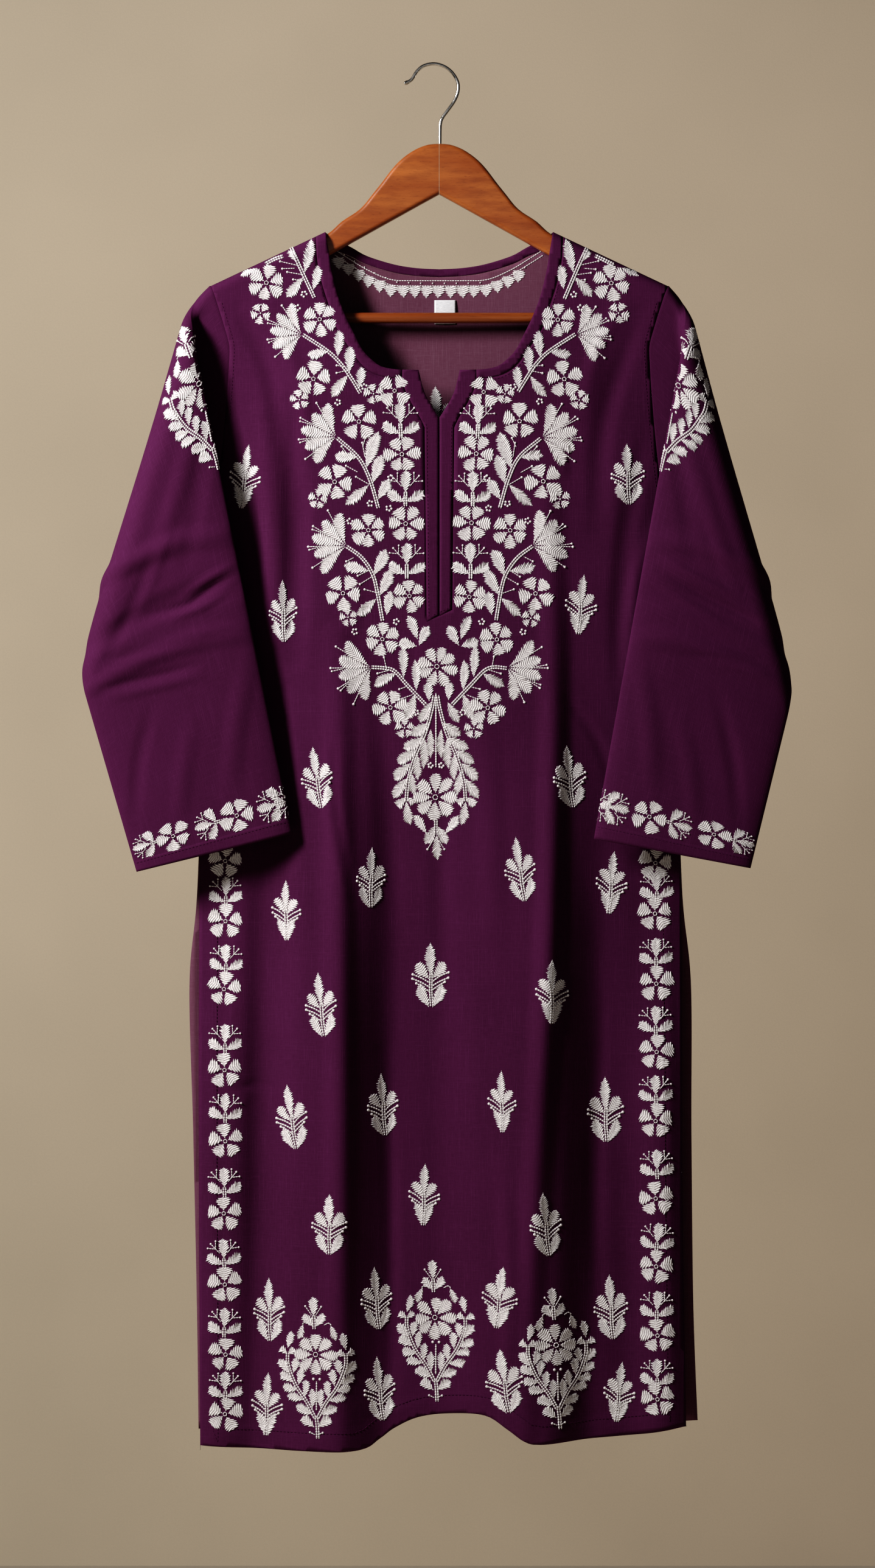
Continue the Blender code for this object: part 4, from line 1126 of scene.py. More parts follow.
class Needlework:
    """Collects flat sewn shapes, then lays them on cloth as one closed, raised mesh."""

    def __init__(self):
        self.points = []
        self.heights = []
        self.laid = []
        self.faces = []
        self.count = 0

    def add(self, points, heights, laid, faces):
        """Keep one shape: flat points, heights over the cloth, thread places and faces."""
        self.points.append(np.asarray(points))
        self.heights.append(np.asarray(heights))
        self.laid.append(np.asarray(laid))
        self.faces.append(np.asarray(faces) + self.count)
        self.count += len(points)

    def strip(self, middle, way, halves, levels, laid_along):
        """Rows of five points across a middle line, closed underneath and at both ends."""
        side = np.column_stack([-way[:, 1], way[:, 0]])
        columns = [
            middle + side * half[:, None] + way * ahead[:, None] for half, ahead in halves]
        points = np.stack(columns, axis=1).reshape(-1, 2)
        heights = np.stack(levels, axis=1).ravel()
        across = np.stack([half for half, _ in halves], axis=1).ravel()
        laid = np.column_stack([np.repeat(laid_along, STRIP_COLUMNS), across])
        last = (len(middle) - 1) * STRIP_COLUMNS
        tris = []
        for first in range(0, last, STRIP_COLUMNS):
            for index in range(STRIP_COLUMNS):
                a = first + index
                b = first + (index + 1) % STRIP_COLUMNS
                c = b + STRIP_COLUMNS
                tris += [(a, b, c), (a, c, a + STRIP_COLUMNS)]
        for index in range(1, STRIP_COLUMNS - 1):
            tris += [(0, index + 1, index), (last, last + index, last + index + 1)]
        self.add(points, heights, laid, tris)

    def satin(self, base, tip, width, kind="leaf", bend=0.0, lift=1.0):
        """A satin-stitched leaf or petal, two slanting halves that meet in a groove."""
        base = np.array(base, dtype=float) * MM
        tip = np.array(tip, dtype=float) * MM
        length = float(np.linalg.norm(tip - base))
        rows = max(4, round(length / SATIN_PITCH)) * 2
        share = np.linspace(0.0, 1.0, rows + 1)
        widest, blunt, slant = SATIN_KINDS[kind]
        outline = np.sin(math.pi * share ** widest) ** blunt
        half = np.maximum(width * MM / 2.0 * outline, 0.0002)
        straight = (tip - base) / length
        side = np.array((-straight[1], straight[0]))
        curve = bend * MM * np.sin(math.pi * share)
        middle = base + straight * (length * share)[:, None] + side * curve[:, None]
        way = np.tile(straight, (rows + 1, 1))
        ridge = np.where(np.arange(rows + 1) % 2 == 0, 1.0, -1.0)
        loose = np.array([chance.uniform(-1.0, 1.0) for _ in range(2 * rows + 2)])
        tooth = np.minimum(SATIN_TOOTH, half * 0.30)
        left = half + tooth * (ridge + 0.7 * loose[:rows + 1])
        right = half + tooth * (ridge + 0.7 * loose[rows + 1:])
        along = share * length

        def ahead(reach):
            moved = np.maximum.accumulate(along + slant * reach)
            return np.minimum(moved, length * 1.01) - along

        grown = np.minimum(1.0, half / SATIN_FULL_HALF)
        tall = SATIN_HEIGHT * lift * (0.45 + 0.55 * grown)
        groove = tall * 0.62
        shoulder = tall * (0.80 + 0.34 * ridge)
        shoulder_left = shoulder + tall * 0.10 * loose[:rows + 1]
        shoulder_right = shoulder + tall * 0.10 * loose[rows + 1:]
        low = np.full(rows + 1, -SUNK)
        near = np.maximum(left * 0.62, left - SATIN_EDGE)
        far = np.maximum(right * 0.62, right - SATIN_EDGE)
        halves = (
            (left, ahead(left)), (near, ahead(near)), (half * 0.0, ahead(half * 0.0)),
            (-far, ahead(far)), (-right, ahead(right)))
        levels = (low, shoulder_left, groove, shoulder_right, low)
        self.strip(middle, way, halves, levels, np.arange(rows + 1) * 0.5)

    def cord(self, path, width=STEM_WIDTH, height=STEM_HEIGHT, chain=0.16, shift=0.0):
        """One line of chain stitches along a path."""
        line = spline(np.array(path) * MM, STEM_STEP)
        line = sample_line(line, np.arange(0.0, lengths_along(line)[-1], STEM_STEP))
        if len(line) < 3:
            return
        if shift:
            line = offset_line(line, shift)
        way = np.gradient(line, axis=0)
        way /= np.linalg.norm(way, axis=1)[:, None]
        count = len(line)
        beat = np.cos(np.arange(count) * 2.0 * math.pi / 3.0)
        half = width / 2.0 * (1.0 + chain * beat)
        half[0] *= 0.5
        half[-1] *= 0.5
        none = np.zeros(count)
        tall = height * (1.0 + 0.25 * beat)
        low = np.full(count, -SUNK)
        halves = ((half, none), (half * 0.6, none), (none, none), (-half * 0.6, none), (-half, none))
        levels = (low, tall * 0.8, tall, tall * 0.8, low)
        self.strip(line, way, halves, levels, np.arange(count) / 3.0)

    def stem(self, path, strands=2):
        """A stem of lines of chain stitches side by side."""
        for strand in range(strands):
            shift = (strand - (strands - 1) / 2.0) * STEM_SPACING
            self.cord(path, shift=shift)

    def knot(self, centre, radius=KNOT_RADIUS, height=0.0011):
        """A round knot, as a low closed dome."""
        centre = np.array(centre, dtype=float) * MM
        turn = (
            np.arange(KNOT_SIDES) * 2.0 * math.pi / KNOT_SIDES + chance.uniform(0.0, 1.0))
        ring = np.column_stack([np.cos(turn), np.sin(turn)]) * radius
        points = np.concatenate([[centre], centre + ring * 0.62, centre + ring, [centre]])
        heights = np.concatenate([
            [height], [height * 0.78] * KNOT_SIDES, [-SUNK] * KNOT_SIDES, [-SUNK]])
        tris = []
        for a in range(1, KNOT_SIDES + 1):
            b = a % KNOT_SIDES + 1
            c = a + KNOT_SIDES
            d = b + KNOT_SIDES
            tris += [(0, a, b), (a, c, d), (a, d, b), (c, 2 * KNOT_SIDES + 1, d)]
        self.add(points, heights, points - centre, tris)

    def ring(self, centre, radius):
        """A small closed ring of chain stitches."""
        path = [
            (centre[0] + radius * math.cos(turn), centre[1] + radius * math.sin(turn))
            for turn in np.linspace(0.0, 2.0 * math.pi, 9)]
        self.cord(path, width=0.0010, height=0.0009)

    def dash(self, start, end, width=STITCH_WIDTH, height=STITCH_HEIGHT):
        """One straight sewing stitch."""
        start = np.asarray(start)
        end = np.asarray(end)
        way = (end - start) / np.linalg.norm(end - start)
        side = np.array((-way[1], way[0])) * width / 2.0
        near = start + (end - start) * 0.22
        far = start + (end - start) * 0.78
        points = [start - side * 0.4, start + side * 0.4, end + side * 0.4, end - side * 0.4,
                  near, far]
        heights = [-SUNK] * 4 + [height, height]
        tris = [(0, 1, 4), (1, 2, 5), (1, 5, 4), (2, 3, 5), (3, 0, 4), (3, 4, 5), (0, 3, 2),
                (0, 2, 1)]
        self.add(points, heights, np.zeros((6, 2)), tris)

    def running(self, line, start=0.0):
        """A row of machine stitches along a line in metres."""
        whole = lengths_along(line)[-1]
        for place in np.arange(start, whole - STITCH_LENGTH, STITCH_PITCH):
            first, last = sample_line(line, np.array((place, place + STITCH_LENGTH)))
            self.dash(first, last)

    def twig(self, base, tip, size=KNOT_RADIUS):
        """A thin stalk with a knot at its end."""
        self.cord([base, tip], width=0.0009, height=0.0006)
        self.knot(tip, size)

    def flower(self, centre, radius, petals=6, turn=0.0, ring=True, lift=1.0):
        """Round petals about a small ringed centre."""
        spread = 2.0 * math.pi / petals
        middle = np.array(centre, dtype=float)
        for index in range(petals):
            way = heading_of(
                math.radians(turn) + spread * index + chance.uniform(-0.09, 0.09))
            outer = radius * chance.uniform(0.96, 1.10)
            width = radius * PETAL_FILL[petals] * chance.uniform(0.92, 1.08)
            self.satin(middle + way * radius * 0.20, middle + way * outer, width, "petal",
                       chance.uniform(-0.4, 0.4), lift)
        if ring:
            self.ring(centre, max(1.0, radius * 0.11))
        else:
            self.knot(centre, 0.0009)

    def fan(self, apex, heading, length, spread=128.0, count=5):
        """Long petals that open from one point, with knotted stalks between them."""
        apex = np.array(apex, dtype=float)
        for index in range(count):
            side = index / (count - 1) - 0.5
            way = heading_of(math.radians(heading + spread * side))
            reach = length * chance.uniform(0.94, 1.06)
            self.satin(apex + way * 1.5, apex + way * reach, length * 0.33, "fan",
                       side * -5.0, 1.05)
        for index in range(count - 1):
            way = heading_of(
                math.radians(heading + spread * ((index + 0.5) / (count - 1) - 0.5)))
            side = np.array((-way[1], way[0]))
            reach = length * chance.uniform(1.06, 1.16)
            self.twig(apex + way * length * 0.62, apex + way * reach, 0.0013)
            if index in (1, 2):
                self.twig(apex + way * length * 0.80 + side * 1.0,
                          apex + way * reach * 0.97 + side * 3.0, 0.0011)

    def curl(self, centre, radius=3.0, turn=0.0):
        """A loose open ring of small knots."""
        for index in range(5):
            angle = math.radians(turn) + index * 1.15
            self.knot((centre[0] + radius * math.cos(angle) * 0.8,
                       centre[1] + radius * math.sin(angle) * 0.8), 0.0012, 0.0009)

    def fork(self, base, tip):
        """A forked twig with three small ends."""
        base = np.array(base, dtype=float)
        tip = np.array(tip, dtype=float)
        way = tip - base
        side = np.array((-way[1], way[0])) * 0.42
        self.twig(base, tip, 0.0011)
        self.twig(base + way * 0.45, base + way * 0.92 + side, 0.0010)
        self.twig(base + way * 0.45, base + way * 0.88 - side, 0.0010)

    def sprig(self, base, size=1.0, turn=0.0, forks=True, rise=9.0):
        """A centre leaf between two spread leaves, with forked twigs."""
        at = motif_places(base, size, turn)
        self.satin(at(0, rise), at(0, rise + 21), 10 * size, "leaf", chance.uniform(-1, 1))
        self.satin(at(-1, 0), at(-17, 11), 9.5 * size, "leaf", 1.5)
        self.satin(at(1, 0), at(17, 11), 9.5 * size, "leaf", -1.5)
        self.stem([at(0, -4), at(0, 4), at(0, rise + 1)], 2)
        if forks:
            self.fork(at(-4, rise + 6), at(-13, rise + 16))
            self.fork(at(4, rise + 6), at(13, rise + 16))

    def butta(self, centre, size=1.0, turn=0.0, flip=1.0, slim=1.0):
        """A small scattered plant: a tall leaf, two petals, six stalks and two foot leaves."""
        at = motif_places(centre, size, turn, flip * slim)
        across = size * slim
        self.satin(at(0.5, -2), at(-2, 29), 9.0 * across, "leaf", 0.6)
        self.satin(at(-1.5, -4), at(-13.5, 9.5), 10.5 * across, "petal", 0.8)
        self.satin(at(2.5, -3), at(12.5, 12), 10.5 * across, "petal", -0.8)
        for path in (
                ((0, -8), (-8, -4), (-17, -1)), ((0, -12), (-8, -8), (-17, -5)),
                ((1.5, -7), (9, -1), (17, 3)), ((1.5, -11), (9, -6), (17, -2)),
                ((1.5, -15), (8, -10), (14, -6)), ((0, -16), (-7, -12), (-13, -9))):
            self.cord([at(*point) for point in path], 0.0015, 0.0007, 0.25)
            self.knot(at(*path[-1]), 0.0014)
        self.satin(at(0.0, -30), at(-9.5, -9), 9.5 * across, "leaf", 1.8)
        self.satin(at(3.5, -30), at(11.5, -8), 9.5 * across, "leaf", -1.8)
        self.stem([at(0.5, 2), at(1, -14), at(3, -30)], 2)

    def paisley(self, centre, size=1.0, turn=0.0):
        """A leafy wreath around a flower, with a sprig on top and a foot below."""
        at = motif_places(centre, size, turn)
        self.flower(at(-1, 13), 19.5 * size, 8, 90.0 + turn)
        self.satin(at(-3, 49), at(-4, 67), 8 * size, "leaf")
        self.satin(at(-3, 39), at(-12, 51), 7.5 * size, "leaf", 1.0)
        self.satin(at(-2, 39), at(6, 52), 7.5 * size, "leaf", -1.0)
        self.twig(at(-5, 50), at(-11, 58), 0.0011)
        self.twig(at(-1, 50), at(4, 58), 0.0011)
        self.stem([at(-2.5, 37), at(-3, 50)], 2)
        for side in (-1, 1):
            self.cord([at(side * 7, 41), at(side * 11, 43), at(side * 14, 41)], 0.0010, 0.0006)
            self.half_wreath(at, side, PAISLEY_LEAVES[:1], size)
            self.stem([at(side * 27.5, 15), at(side * 27, 2), at(side * 20, -16),
                       at(side * 9, -32), at(side * 1, -47)], 2)
            self.half_wreath(at, side, PAISLEY_LEAVES[1:], size)
            self.twig(at(side * 1.5, -62), at(side * 6, -60), 0.0011)
            self.knot(at(side * 3, -10), 0.0014)
        self.stem([at(0, -45), at(1, -55), at(1.5, -66)], 2)
        self.stem([at(0, -12), at(0, -40)], 1)

    def half_wreath(self, at, side, leaves, size=1.0):
        """Leaves on one side of a motif; one row each: base, tip and width."""
        for x1, y1, x2, y2, width in leaves:
            self.satin(at(side * x1, y1), at(side * x2, y2), width * size, "leaf",
                       chance.uniform(-1.0, 1.0))

    def make(self, name, surface, finish):
        """Lay everything on a surface and leave one object."""
        points = np.concatenate(self.points)
        heights = np.concatenate(self.heights)
        faces = np.concatenate(self.faces)
        laid = np.concatenate(self.laid)
        placed = surface.laid(points, heights)
        piece = mesh_piece(name, placed, faces, (finish,), laid, False)
        shape = bmesh.new()
        shape.from_mesh(piece.data)
        bmesh.ops.recalc_face_normals(shape, faces=shape.faces)
        shape.to_mesh(piece.data)
        shape.free()
        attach(piece, "root")
        return piece


# Yoke of the left half, in millimetres; the right half is its mirror. Leaves: base, tip, width
YOKE_LEAVES = (
    ((-172, -193), (-188, -200), 6), ((-136, -186), (-142, -176), 6.5),
    ((-127, -197), (-120, -165), 9.5), ((-118, -213), (-114, -190), 8.5),
    ((-128, -202), (-144, -220), 9), ((-95, -277), (-94, -252), 9),
    ((-84, -292), (-84, -267), 9.5), ((-75, -307), (-74, -287), 8.5),
    ((-104, -272), (-124, -275), 8.5), ((-86, -295), (-101, -315), 9),
    ((-68, -382), (-57, -348), 12), ((-62, -396), (-54, -370), 11),
    ((-57, -411), (-47, -393), 9.5), ((-77, -372), (-98, -370), 9.5),
    ((-66, -398), (-88, -417), 9), ((-61, -483), (-50, -459), 11),
    ((-56, -502), (-45, -477), 10.5), ((-50, -520), (-46, -498), 9.5),
    ((-67, -479), (-90, -474), 10), ((-59, -505), (-77, -521), 9),
    ((-20, -543), (-30, -521), 8.5), ((-19, -549), (-9, -531), 9), ((-21, -550), (-37, -545), 10),
    ((-33, -579), (-34, -549), 8.5), ((-22, -591), (-23, -563), 8.5),
    ((-41, -576), (-61, -588), 9.5), ((-23, -595), (-31, -620), 10),
    ((-8, -603), (-18, -622), 9), ((-9, -601), (-11, -584), 8),
)
# Flowers: centre, radius, number of petals, turn
YOKE_FLOWERS = (
    (-163, -207, 16.5, 6, 20), (-169, -235, 9.5, 5, 50), (-112, -242, 15.5, 6, 95),
    (-118, -298, 16, 5, 85), (-132, -318, 9, 5, 30), (-62, -312, 9, 5, 100),
    (-42, -310, 14.5, 4, 50), (-76, -338, 16, 5, 90), (-35, -369, 16.5, 6, 62),
    (-98, -395, 16.5, 5, 68), (-114, -411, 9, 5, 80), (-31, -434, 16.5, 6, 60),
    (-67, -441, 16, 6, 92), (-91, -500, 16, 5, 60), (-86, -523, 8.5, 5, 100),
    (-28, -503, 15, 6, 35), (-54, -543, 15.5, 6, 82), (-46, -608, 16, 6, 70),
    (-33, -627, 9, 5, 90),
)
# Fans: apex, heading, length
YOKE_FANS = (
    (-130, -256, 172, 30), (-97, -353, 168, 33), (-88, -455, 165, 33), (-65, -570, 197, 33),
)
YOKE_STEMS = (
    ((-164, -189), (-155, -184.5), (-147, -181)),
    ((-140, -173), (-130, -194), (-118, -222)),
    ((-129, -256), (-104, -272), (-91, -285), (-82, -298), (-74, -311)),
    ((-96, -354), (-76, -372), (-65, -393), (-57, -420)),
    ((-88, -456), (-73, -467), (-63, -482), (-58, -500), (-53, -526)),
    ((-64, -570), (-51, -570), (-42, -573), (-30, -586), (-12, -605)),
    ((-37, -340), (-36, -354)), ((-32, -408), (-31, -418)), ((-30, -475), (-30, -487)),
)
# Sprigs: base, size
YOKE_SPRIGS = ((-36, -350, 0.98), (-32, -414, 0.98), (-30, -482, 0.98))
YOKE_TWIGS = (
    ((-134, -190), (-150, -186)), ((-136, -193), (-148, -194)), ((-130, -199), (-143, -197)),
    ((-128, -204), (-138, -204)),
    ((-93, -273), (-92, -262)), ((-88, -287), (-97, -286)), ((-86, -290), (-97, -293)),
    ((-84, -372), (-92, -362)), ((-77, -386), (-87, -380)), ((-72, -362), (-69, -354)),
    ((-70, -372), (-72, -358)), ((-66, -398), (-78, -391)), ((-80, -466), (-88, -470)),
    ((-66, -478), (-76, -484)), ((-62, -484), (-74, -492)), ((-58, -500), (-70, -496)),
    ((-50, -571), (-52, -560)), ((-46, -572), (-58, -576)), ((-30, -588), (-38, -590)),
    ((-25, -595), (-37, -600)),
)
YOKE_CURLS = (
    (-127, -218, 0), (-134, -230, 80), (-95, -320, 200), (-65, -415, 40), (-47, -420, 150),
    (-45, -392, 90), (-40, -527, 10), (-84, -432, 100), (-79, -536, 60), (-22, -612, 200),
    (-70, -306, 30),
)


def yoke_side(side):
    """One side of the embroidered yoke."""
    work = Needlework()

    def at(point):
        return (point[0] * (1 if side < 0 else -1) + chance.uniform(-0.6, 0.6),
                point[1] + chance.uniform(-0.6, 0.6))

    def heading(angle):
        return angle if side < 0 else 180.0 - angle

    for base, tip, width in YOKE_LEAVES:
        work.satin(at(base), at(tip), width, "leaf", chance.uniform(-1.2, 1.2))
    for u, z, radius, petals, turn in YOKE_FLOWERS:
        work.flower(at((u, z)), radius, petals, heading(turn), radius > 12)
    for u, z, angle, length in YOKE_FANS:
        work.fan(at((u, z)), heading(angle), length)
    for path in YOKE_STEMS:
        work.stem([at(point) for point in path], 2)
    for u, z, size in YOKE_SPRIGS:
        work.sprig(at((u, z)), size)
    for base, tip in YOKE_TWIGS:
        work.twig(at(base), at(tip), 0.0012)
    for u, z, turn in YOKE_CURLS:
        work.curl(at((u, z)), 3.0, heading(turn))
    name = "left" if side < 0 else "right"
    return work.make("embroidery_yoke_" + name, front_panel, WHITE)


YOKE_FOOT_LEAVES = (
    (5, -622, 23, -634, 10), (10, -636, 31, -646, 10), (18, -648, 36, -660, 10),
    (24, -660, 39, -676, 10), (27, -674, 40, -693, 9.5), (28, -692, 37, -700, 8),
    (27, -692, 20, -697, 7), (28, -696, 24, -718, 8.5),
    (5, -628, 5, -655, 7.5), (11, -636, 12, -665, 8), (18, -650, 17, -676, 8),
    (24, -667, 20, -690, 7.5), (9, -726, 21, -709, 7.5), (1, -719, 10, -736, 9),
)


def yoke_foot():
    """The leafy pointed foot of the yoke on the centre line."""
    work = Needlework()
    work.flower((-2, -569), 18.5, 8, 75)
    work.stem([(-3, -594), (-3, -630), (-3, -664)], 1)
    at = motif_places((-3, 0), 1.0, 0.0)
    for side in (-1, 1):
        work.stem([at(side * x, z) for x, z in (
            (1.5, -596), (4, -610), (10, -631), (19, -652), (26, -676), (28, -696))], 2)
        work.half_wreath(at, side, YOKE_FOOT_LEAVES)
        work.curl(at(side * 5, -662), 2.6, 90.0)
        work.twig(at(side * 3, -733), at(side * 8, -741), 0.0012)
        work.cord([at(side * 2, -727), at(side * 10, -726)], 0.0012)
    work.flower((-3.5, -692), 21.0, 8, 90)
    work.satin((-2.5, -728), (-1.5, -751), 8.5, "leaf")
    work.stem([(-3, -713), (-3, -728)], 2)
    return work.make("embroidery_yoke_foot", front_panel, WHITE)


# Places of the scattered plants and the paisleys, as (u, z), and heights of the side rows
BUTTAS = (
    (-183, -389), (178, -387), (-147, -516), (134, -510), (-115, -673), (123, -672),
    (-144, -798), (-64, -767), (76, -759), (163, -772), (-111, -886), (-8, -859), (106, -874),
    (-139, -992), (-53, -981), (59, -977), (157, -986), (-103, -1092), (-14, -1066),
    (100, -1092), (-59, -1163), (57, -1161), (-160, -1174), (162, -1172), (-162, -1263),
    (-56, -1248), (61, -1239), (170, -1252),
)
PAISLEYS = ((-115, -1228), (-3, -1195), (111, -1219))
LEFT_BAND_FLOWERS = (-752, -809, -873, -949, -1016, -1084, -1151, -1217, -1273)
LEFT_BAND_SPRIGS = (-786, -850, -925, -990, -1060, -1127, -1192, -1252)
RIGHT_BAND_FLOWERS = (-754, -802, -868, -932, -997, -1070, -1134, -1199, -1259)
RIGHT_BAND_SPRIGS = (-782, -844, -908, -973, -1043, -1112, -1176, -1240)
BACK_BUTTAS = (
    (-120, -330), (0, -330), (120, -330), (-60, -460), (60, -460), (-125, -590), (0, -590),
    (125, -590), (-62, -720), (62, -720), (-140, -835), (-8, -850), (130, -840), (-70, -960),
    (66, -965), (-140, -1075), (0, -1085), (138, -1080),
)
BACK_PAISLEYS = ((-112, -1205), (2, -1190), (116, -1200))
# The side rows' flowers, the row above each cuff, and the sleeve's wreath: place, size, turn
BAND_FLOWER_RADIUS = 15.5
ROW_SPRIG_SIZE = 0.90
SLEEVE_WREATH = ((2, 118), 1.06, 180.0)
CUFF_ROW = 506
CUFF_FLOWER_RADIUS = 16.0
CUFF_FLOWERS = (47, 110)
CUFF_SPRIGS = (8, 69, 131)


def scatter(name, panel, places):
    """Scattered plants, each a little different."""
    work = Needlework()
    for index, (u, z) in enumerate(places):
        flip = 1.0 if index % 3 else -1.0
        slim = chance.uniform(0.74, 0.98)
        work.butta((u, z), chance.uniform(0.95, 1.04), chance.uniform(-5.0, 5.0), flip, slim)
    return work.make(name, panel, WHITE)


def side_bands(name, panel, bands):
    """Upright rows of flowers and sprigs along the slits."""
    work = Needlework()
    for u, flowers, sprigs in bands:
        for z in flowers:
            work.flower(
                (u + chance.uniform(-1, 1), z), BAND_FLOWER_RADIUS, 5, chance.uniform(80, 100))
        for z in sprigs:
            work.sprig((u + chance.uniform(-1, 1), z - 5), ROW_SPRIG_SIZE,
                       chance.uniform(-4, 4), rise=6.0)
    return work.make(name, panel, WHITE)


def hem_paisleys(name, panel, places):
    """A row of paisleys above the hem."""
    work = Needlework()
    for u, z in places:
        work.paisley((u, z), 1.0, chance.uniform(-2.0, 2.0))
    return work.make(name, panel, WHITE)


def sleeve_work(name):
    """Wreath over the top of a sleeve and the row of flowers above its cuff."""
    sleeve = sleeves[name]
    work = Needlework()
    work.paisley(*SLEEVE_WREATH)
    for side in (-1, 1):
        for x in CUFF_FLOWERS:
            work.flower((side * x, CUFF_ROW), CUFF_FLOWER_RADIUS, 5, chance.uniform(60, 110))
        for x in CUFF_SPRIGS:
            work.sprig((side * x - 2, CUFF_ROW), ROW_SPRIG_SIZE, -90.0, rise=3.0)
    return work.make("embroidery_" + name, sleeve, WHITE)


class InsideBack:
    """The inner face of the back, for the row of petals that shows in the neck."""

    def laid(self, points, heights):
        placed = back_panel.face(points[:, 0], points[:, 1])
        placed[:, 1] -= CLOTH + heights
        return placed


def inside_neck_row():
    """Two stitched lines and a row of small petals inside the back neck."""
    work = Needlework()
    row = [(-99, -173), (-88, -180), (-68, -192), (-46, -201), (-24, -202), (0, -202)]
    right = [(-u, z) for u, z in row[:-1]][::-1]
    upper = row + right
    work.cord(upper, 0.0009, 0.0005)
    lower = [(u, z - 5.0) for u, z in upper]
    work.cord(lower, 0.0009, 0.0005, 0.3)
    line = sample_line(np.array(upper, dtype=float), np.arange(4.0, 196.0, 11.3))
    for u, z in line:
        work.satin((u + chance.uniform(-1, 1), z - 16.5), (u, z - 5), 12.0, "petal")
        work.knot((u + 5.6, z - 2.5), 0.0008)
    work.butta((-1.5, -331), 1.0)
    return work.make("embroidery_inside_neck", InsideBack(), WHITE)


class StitchedBand:
    """The front face, with the placket strips' extra thickness where they lie."""

    def laid(self, points, heights):
        on_strip = np.abs(points[:, 0]) < PLACKET_HALF_TOP
        on_strip &= points[:, 1] > PLACKET_FOOT_Z
        return front_panel.laid(points, heights + np.where(on_strip, BAND_RAISE, 0.0))


def machine_stitching():
    """Sewing stitches along the hems, slits, armholes, neck and placket."""
    armhole = offset_line(spline(ARMHOLE, EDGE_STEP), -STITCH_BESIDE_ARMHOLE)[4:-2]
    for name, panel, surface, neck_seam in (
            ("front", front_panel, StitchedBand(), FRONT_NECK_SEAM),
            ("back", back_panel, back_panel, BACK_NECK_SEAM)):
        work = Needlework()
        turned = offset_line(panel.hem_line, HEM_BAND - HEM_STEP - STITCH_BESIDE_STEP)
        work.running(turned[turned[:, 1] < SLIT_TOP_Z + 0.004])
        neck = offset_line(spline(on_shoulder(neck_seam), EDGE_STEP), STITCH_BESIDE_SEAM)[3:]
        for side in (-1, 1):
            work.running(neck * (side, 1.0))
            work.running(armhole * (side, 1.0))
        if panel is front_panel:
            placket_stitches(work)
        work.make("machine_stitching_" + name, surface, PLUM_THREAD)


def placket_stitches(work):
    """Stitches down both sides of the placket and across its slanted foot."""
    for side in (-1, 1):
        edge = offset_line(placket_line(side), -STITCH_BESIDE_SEAM)[2:]
        work.running(edge * (side, 1.0))
    work.running(np.array([
        (side * PLACKET_HALF_FOOT, PLACKET_FOOT_Z + side * PLACKET_FOOT_SLANT + 0.003)
        for side in (-1, 1)]))


def sleeve_stitching(name):
    """Machine stitches round the cuff's turned edge."""
    work = Needlework()
    sleeve = sleeves[name]
    down = sleeve.length - CUFF_BAND + HEM_STEP + STITCH_BESIDE_STEP
    reach = float(sleeve.width_at(np.array([down / sleeve.length]))[0])
    row = np.column_stack([np.linspace(-reach + 0.002, reach - 0.002, 200), np.full(200, down)])
    work.running(row)
    work.make("machine_stitching_" + name, sleeve, PLUM_THREAD)


# Hanger; arm outlines of the right half in (distance from the centre, z)
HANGER_THICKNESS = 0.0115
HANGER_JOINT_GAP = 0.0003
ARM_ROUNDING = 0.0042
ARM_VISIBLE_TOP = (
    (0.0, -0.0743), (0.0101, -0.0750), (0.0222, -0.0795), (0.0342, -0.0876), (0.0439, -0.0973),
    (0.0548, -0.1116), (0.0629, -0.1217), (0.0715, -0.1326), (0.0789, -0.1391), (0.0921, -0.1477),
)
CLOTH_OVER_WOOD = 0.0030
ARM_COVERED_TOP = (0.1060, 0.1300, 0.1600, 0.1900, 0.2000)
ARM_END = (
    (0.2055, -0.2082), (0.2080, -0.2140), (0.2085, -0.2300), (0.2070, -0.2420),
    (0.2025, -0.2480), (0.1960, -0.2488), (0.1915, -0.2460), (0.1903, -0.2400),
)
ARM_UNDERSIDE = ((0.1903, -0.2280), (0.0617, -0.1563), (0.0153, -0.1305), (0.0, -0.1222))
BAR_RADIUS = 0.0051
BAR_Z = -0.2388
BAR_HALF_LENGTH = 0.1900
WIRE_RADIUS = 0.0016
TIP_BALL_RADIUS = 0.0024
HOOK_LINE = (
    (-0.0285, -0.0172), (-0.0219, -0.0136), (-0.0165, -0.0054), (-0.0099, -0.0002),
    (0.0, 0.0016), (0.0099, -0.0013), (0.0175, -0.0076), (0.0222, -0.0164),
    (0.0222, -0.0251), (0.0186, -0.0339), (0.0120, -0.0433), (0.0077, -0.0493),
    (0.0056, -0.0559), (0.0052, -0.0740),
)


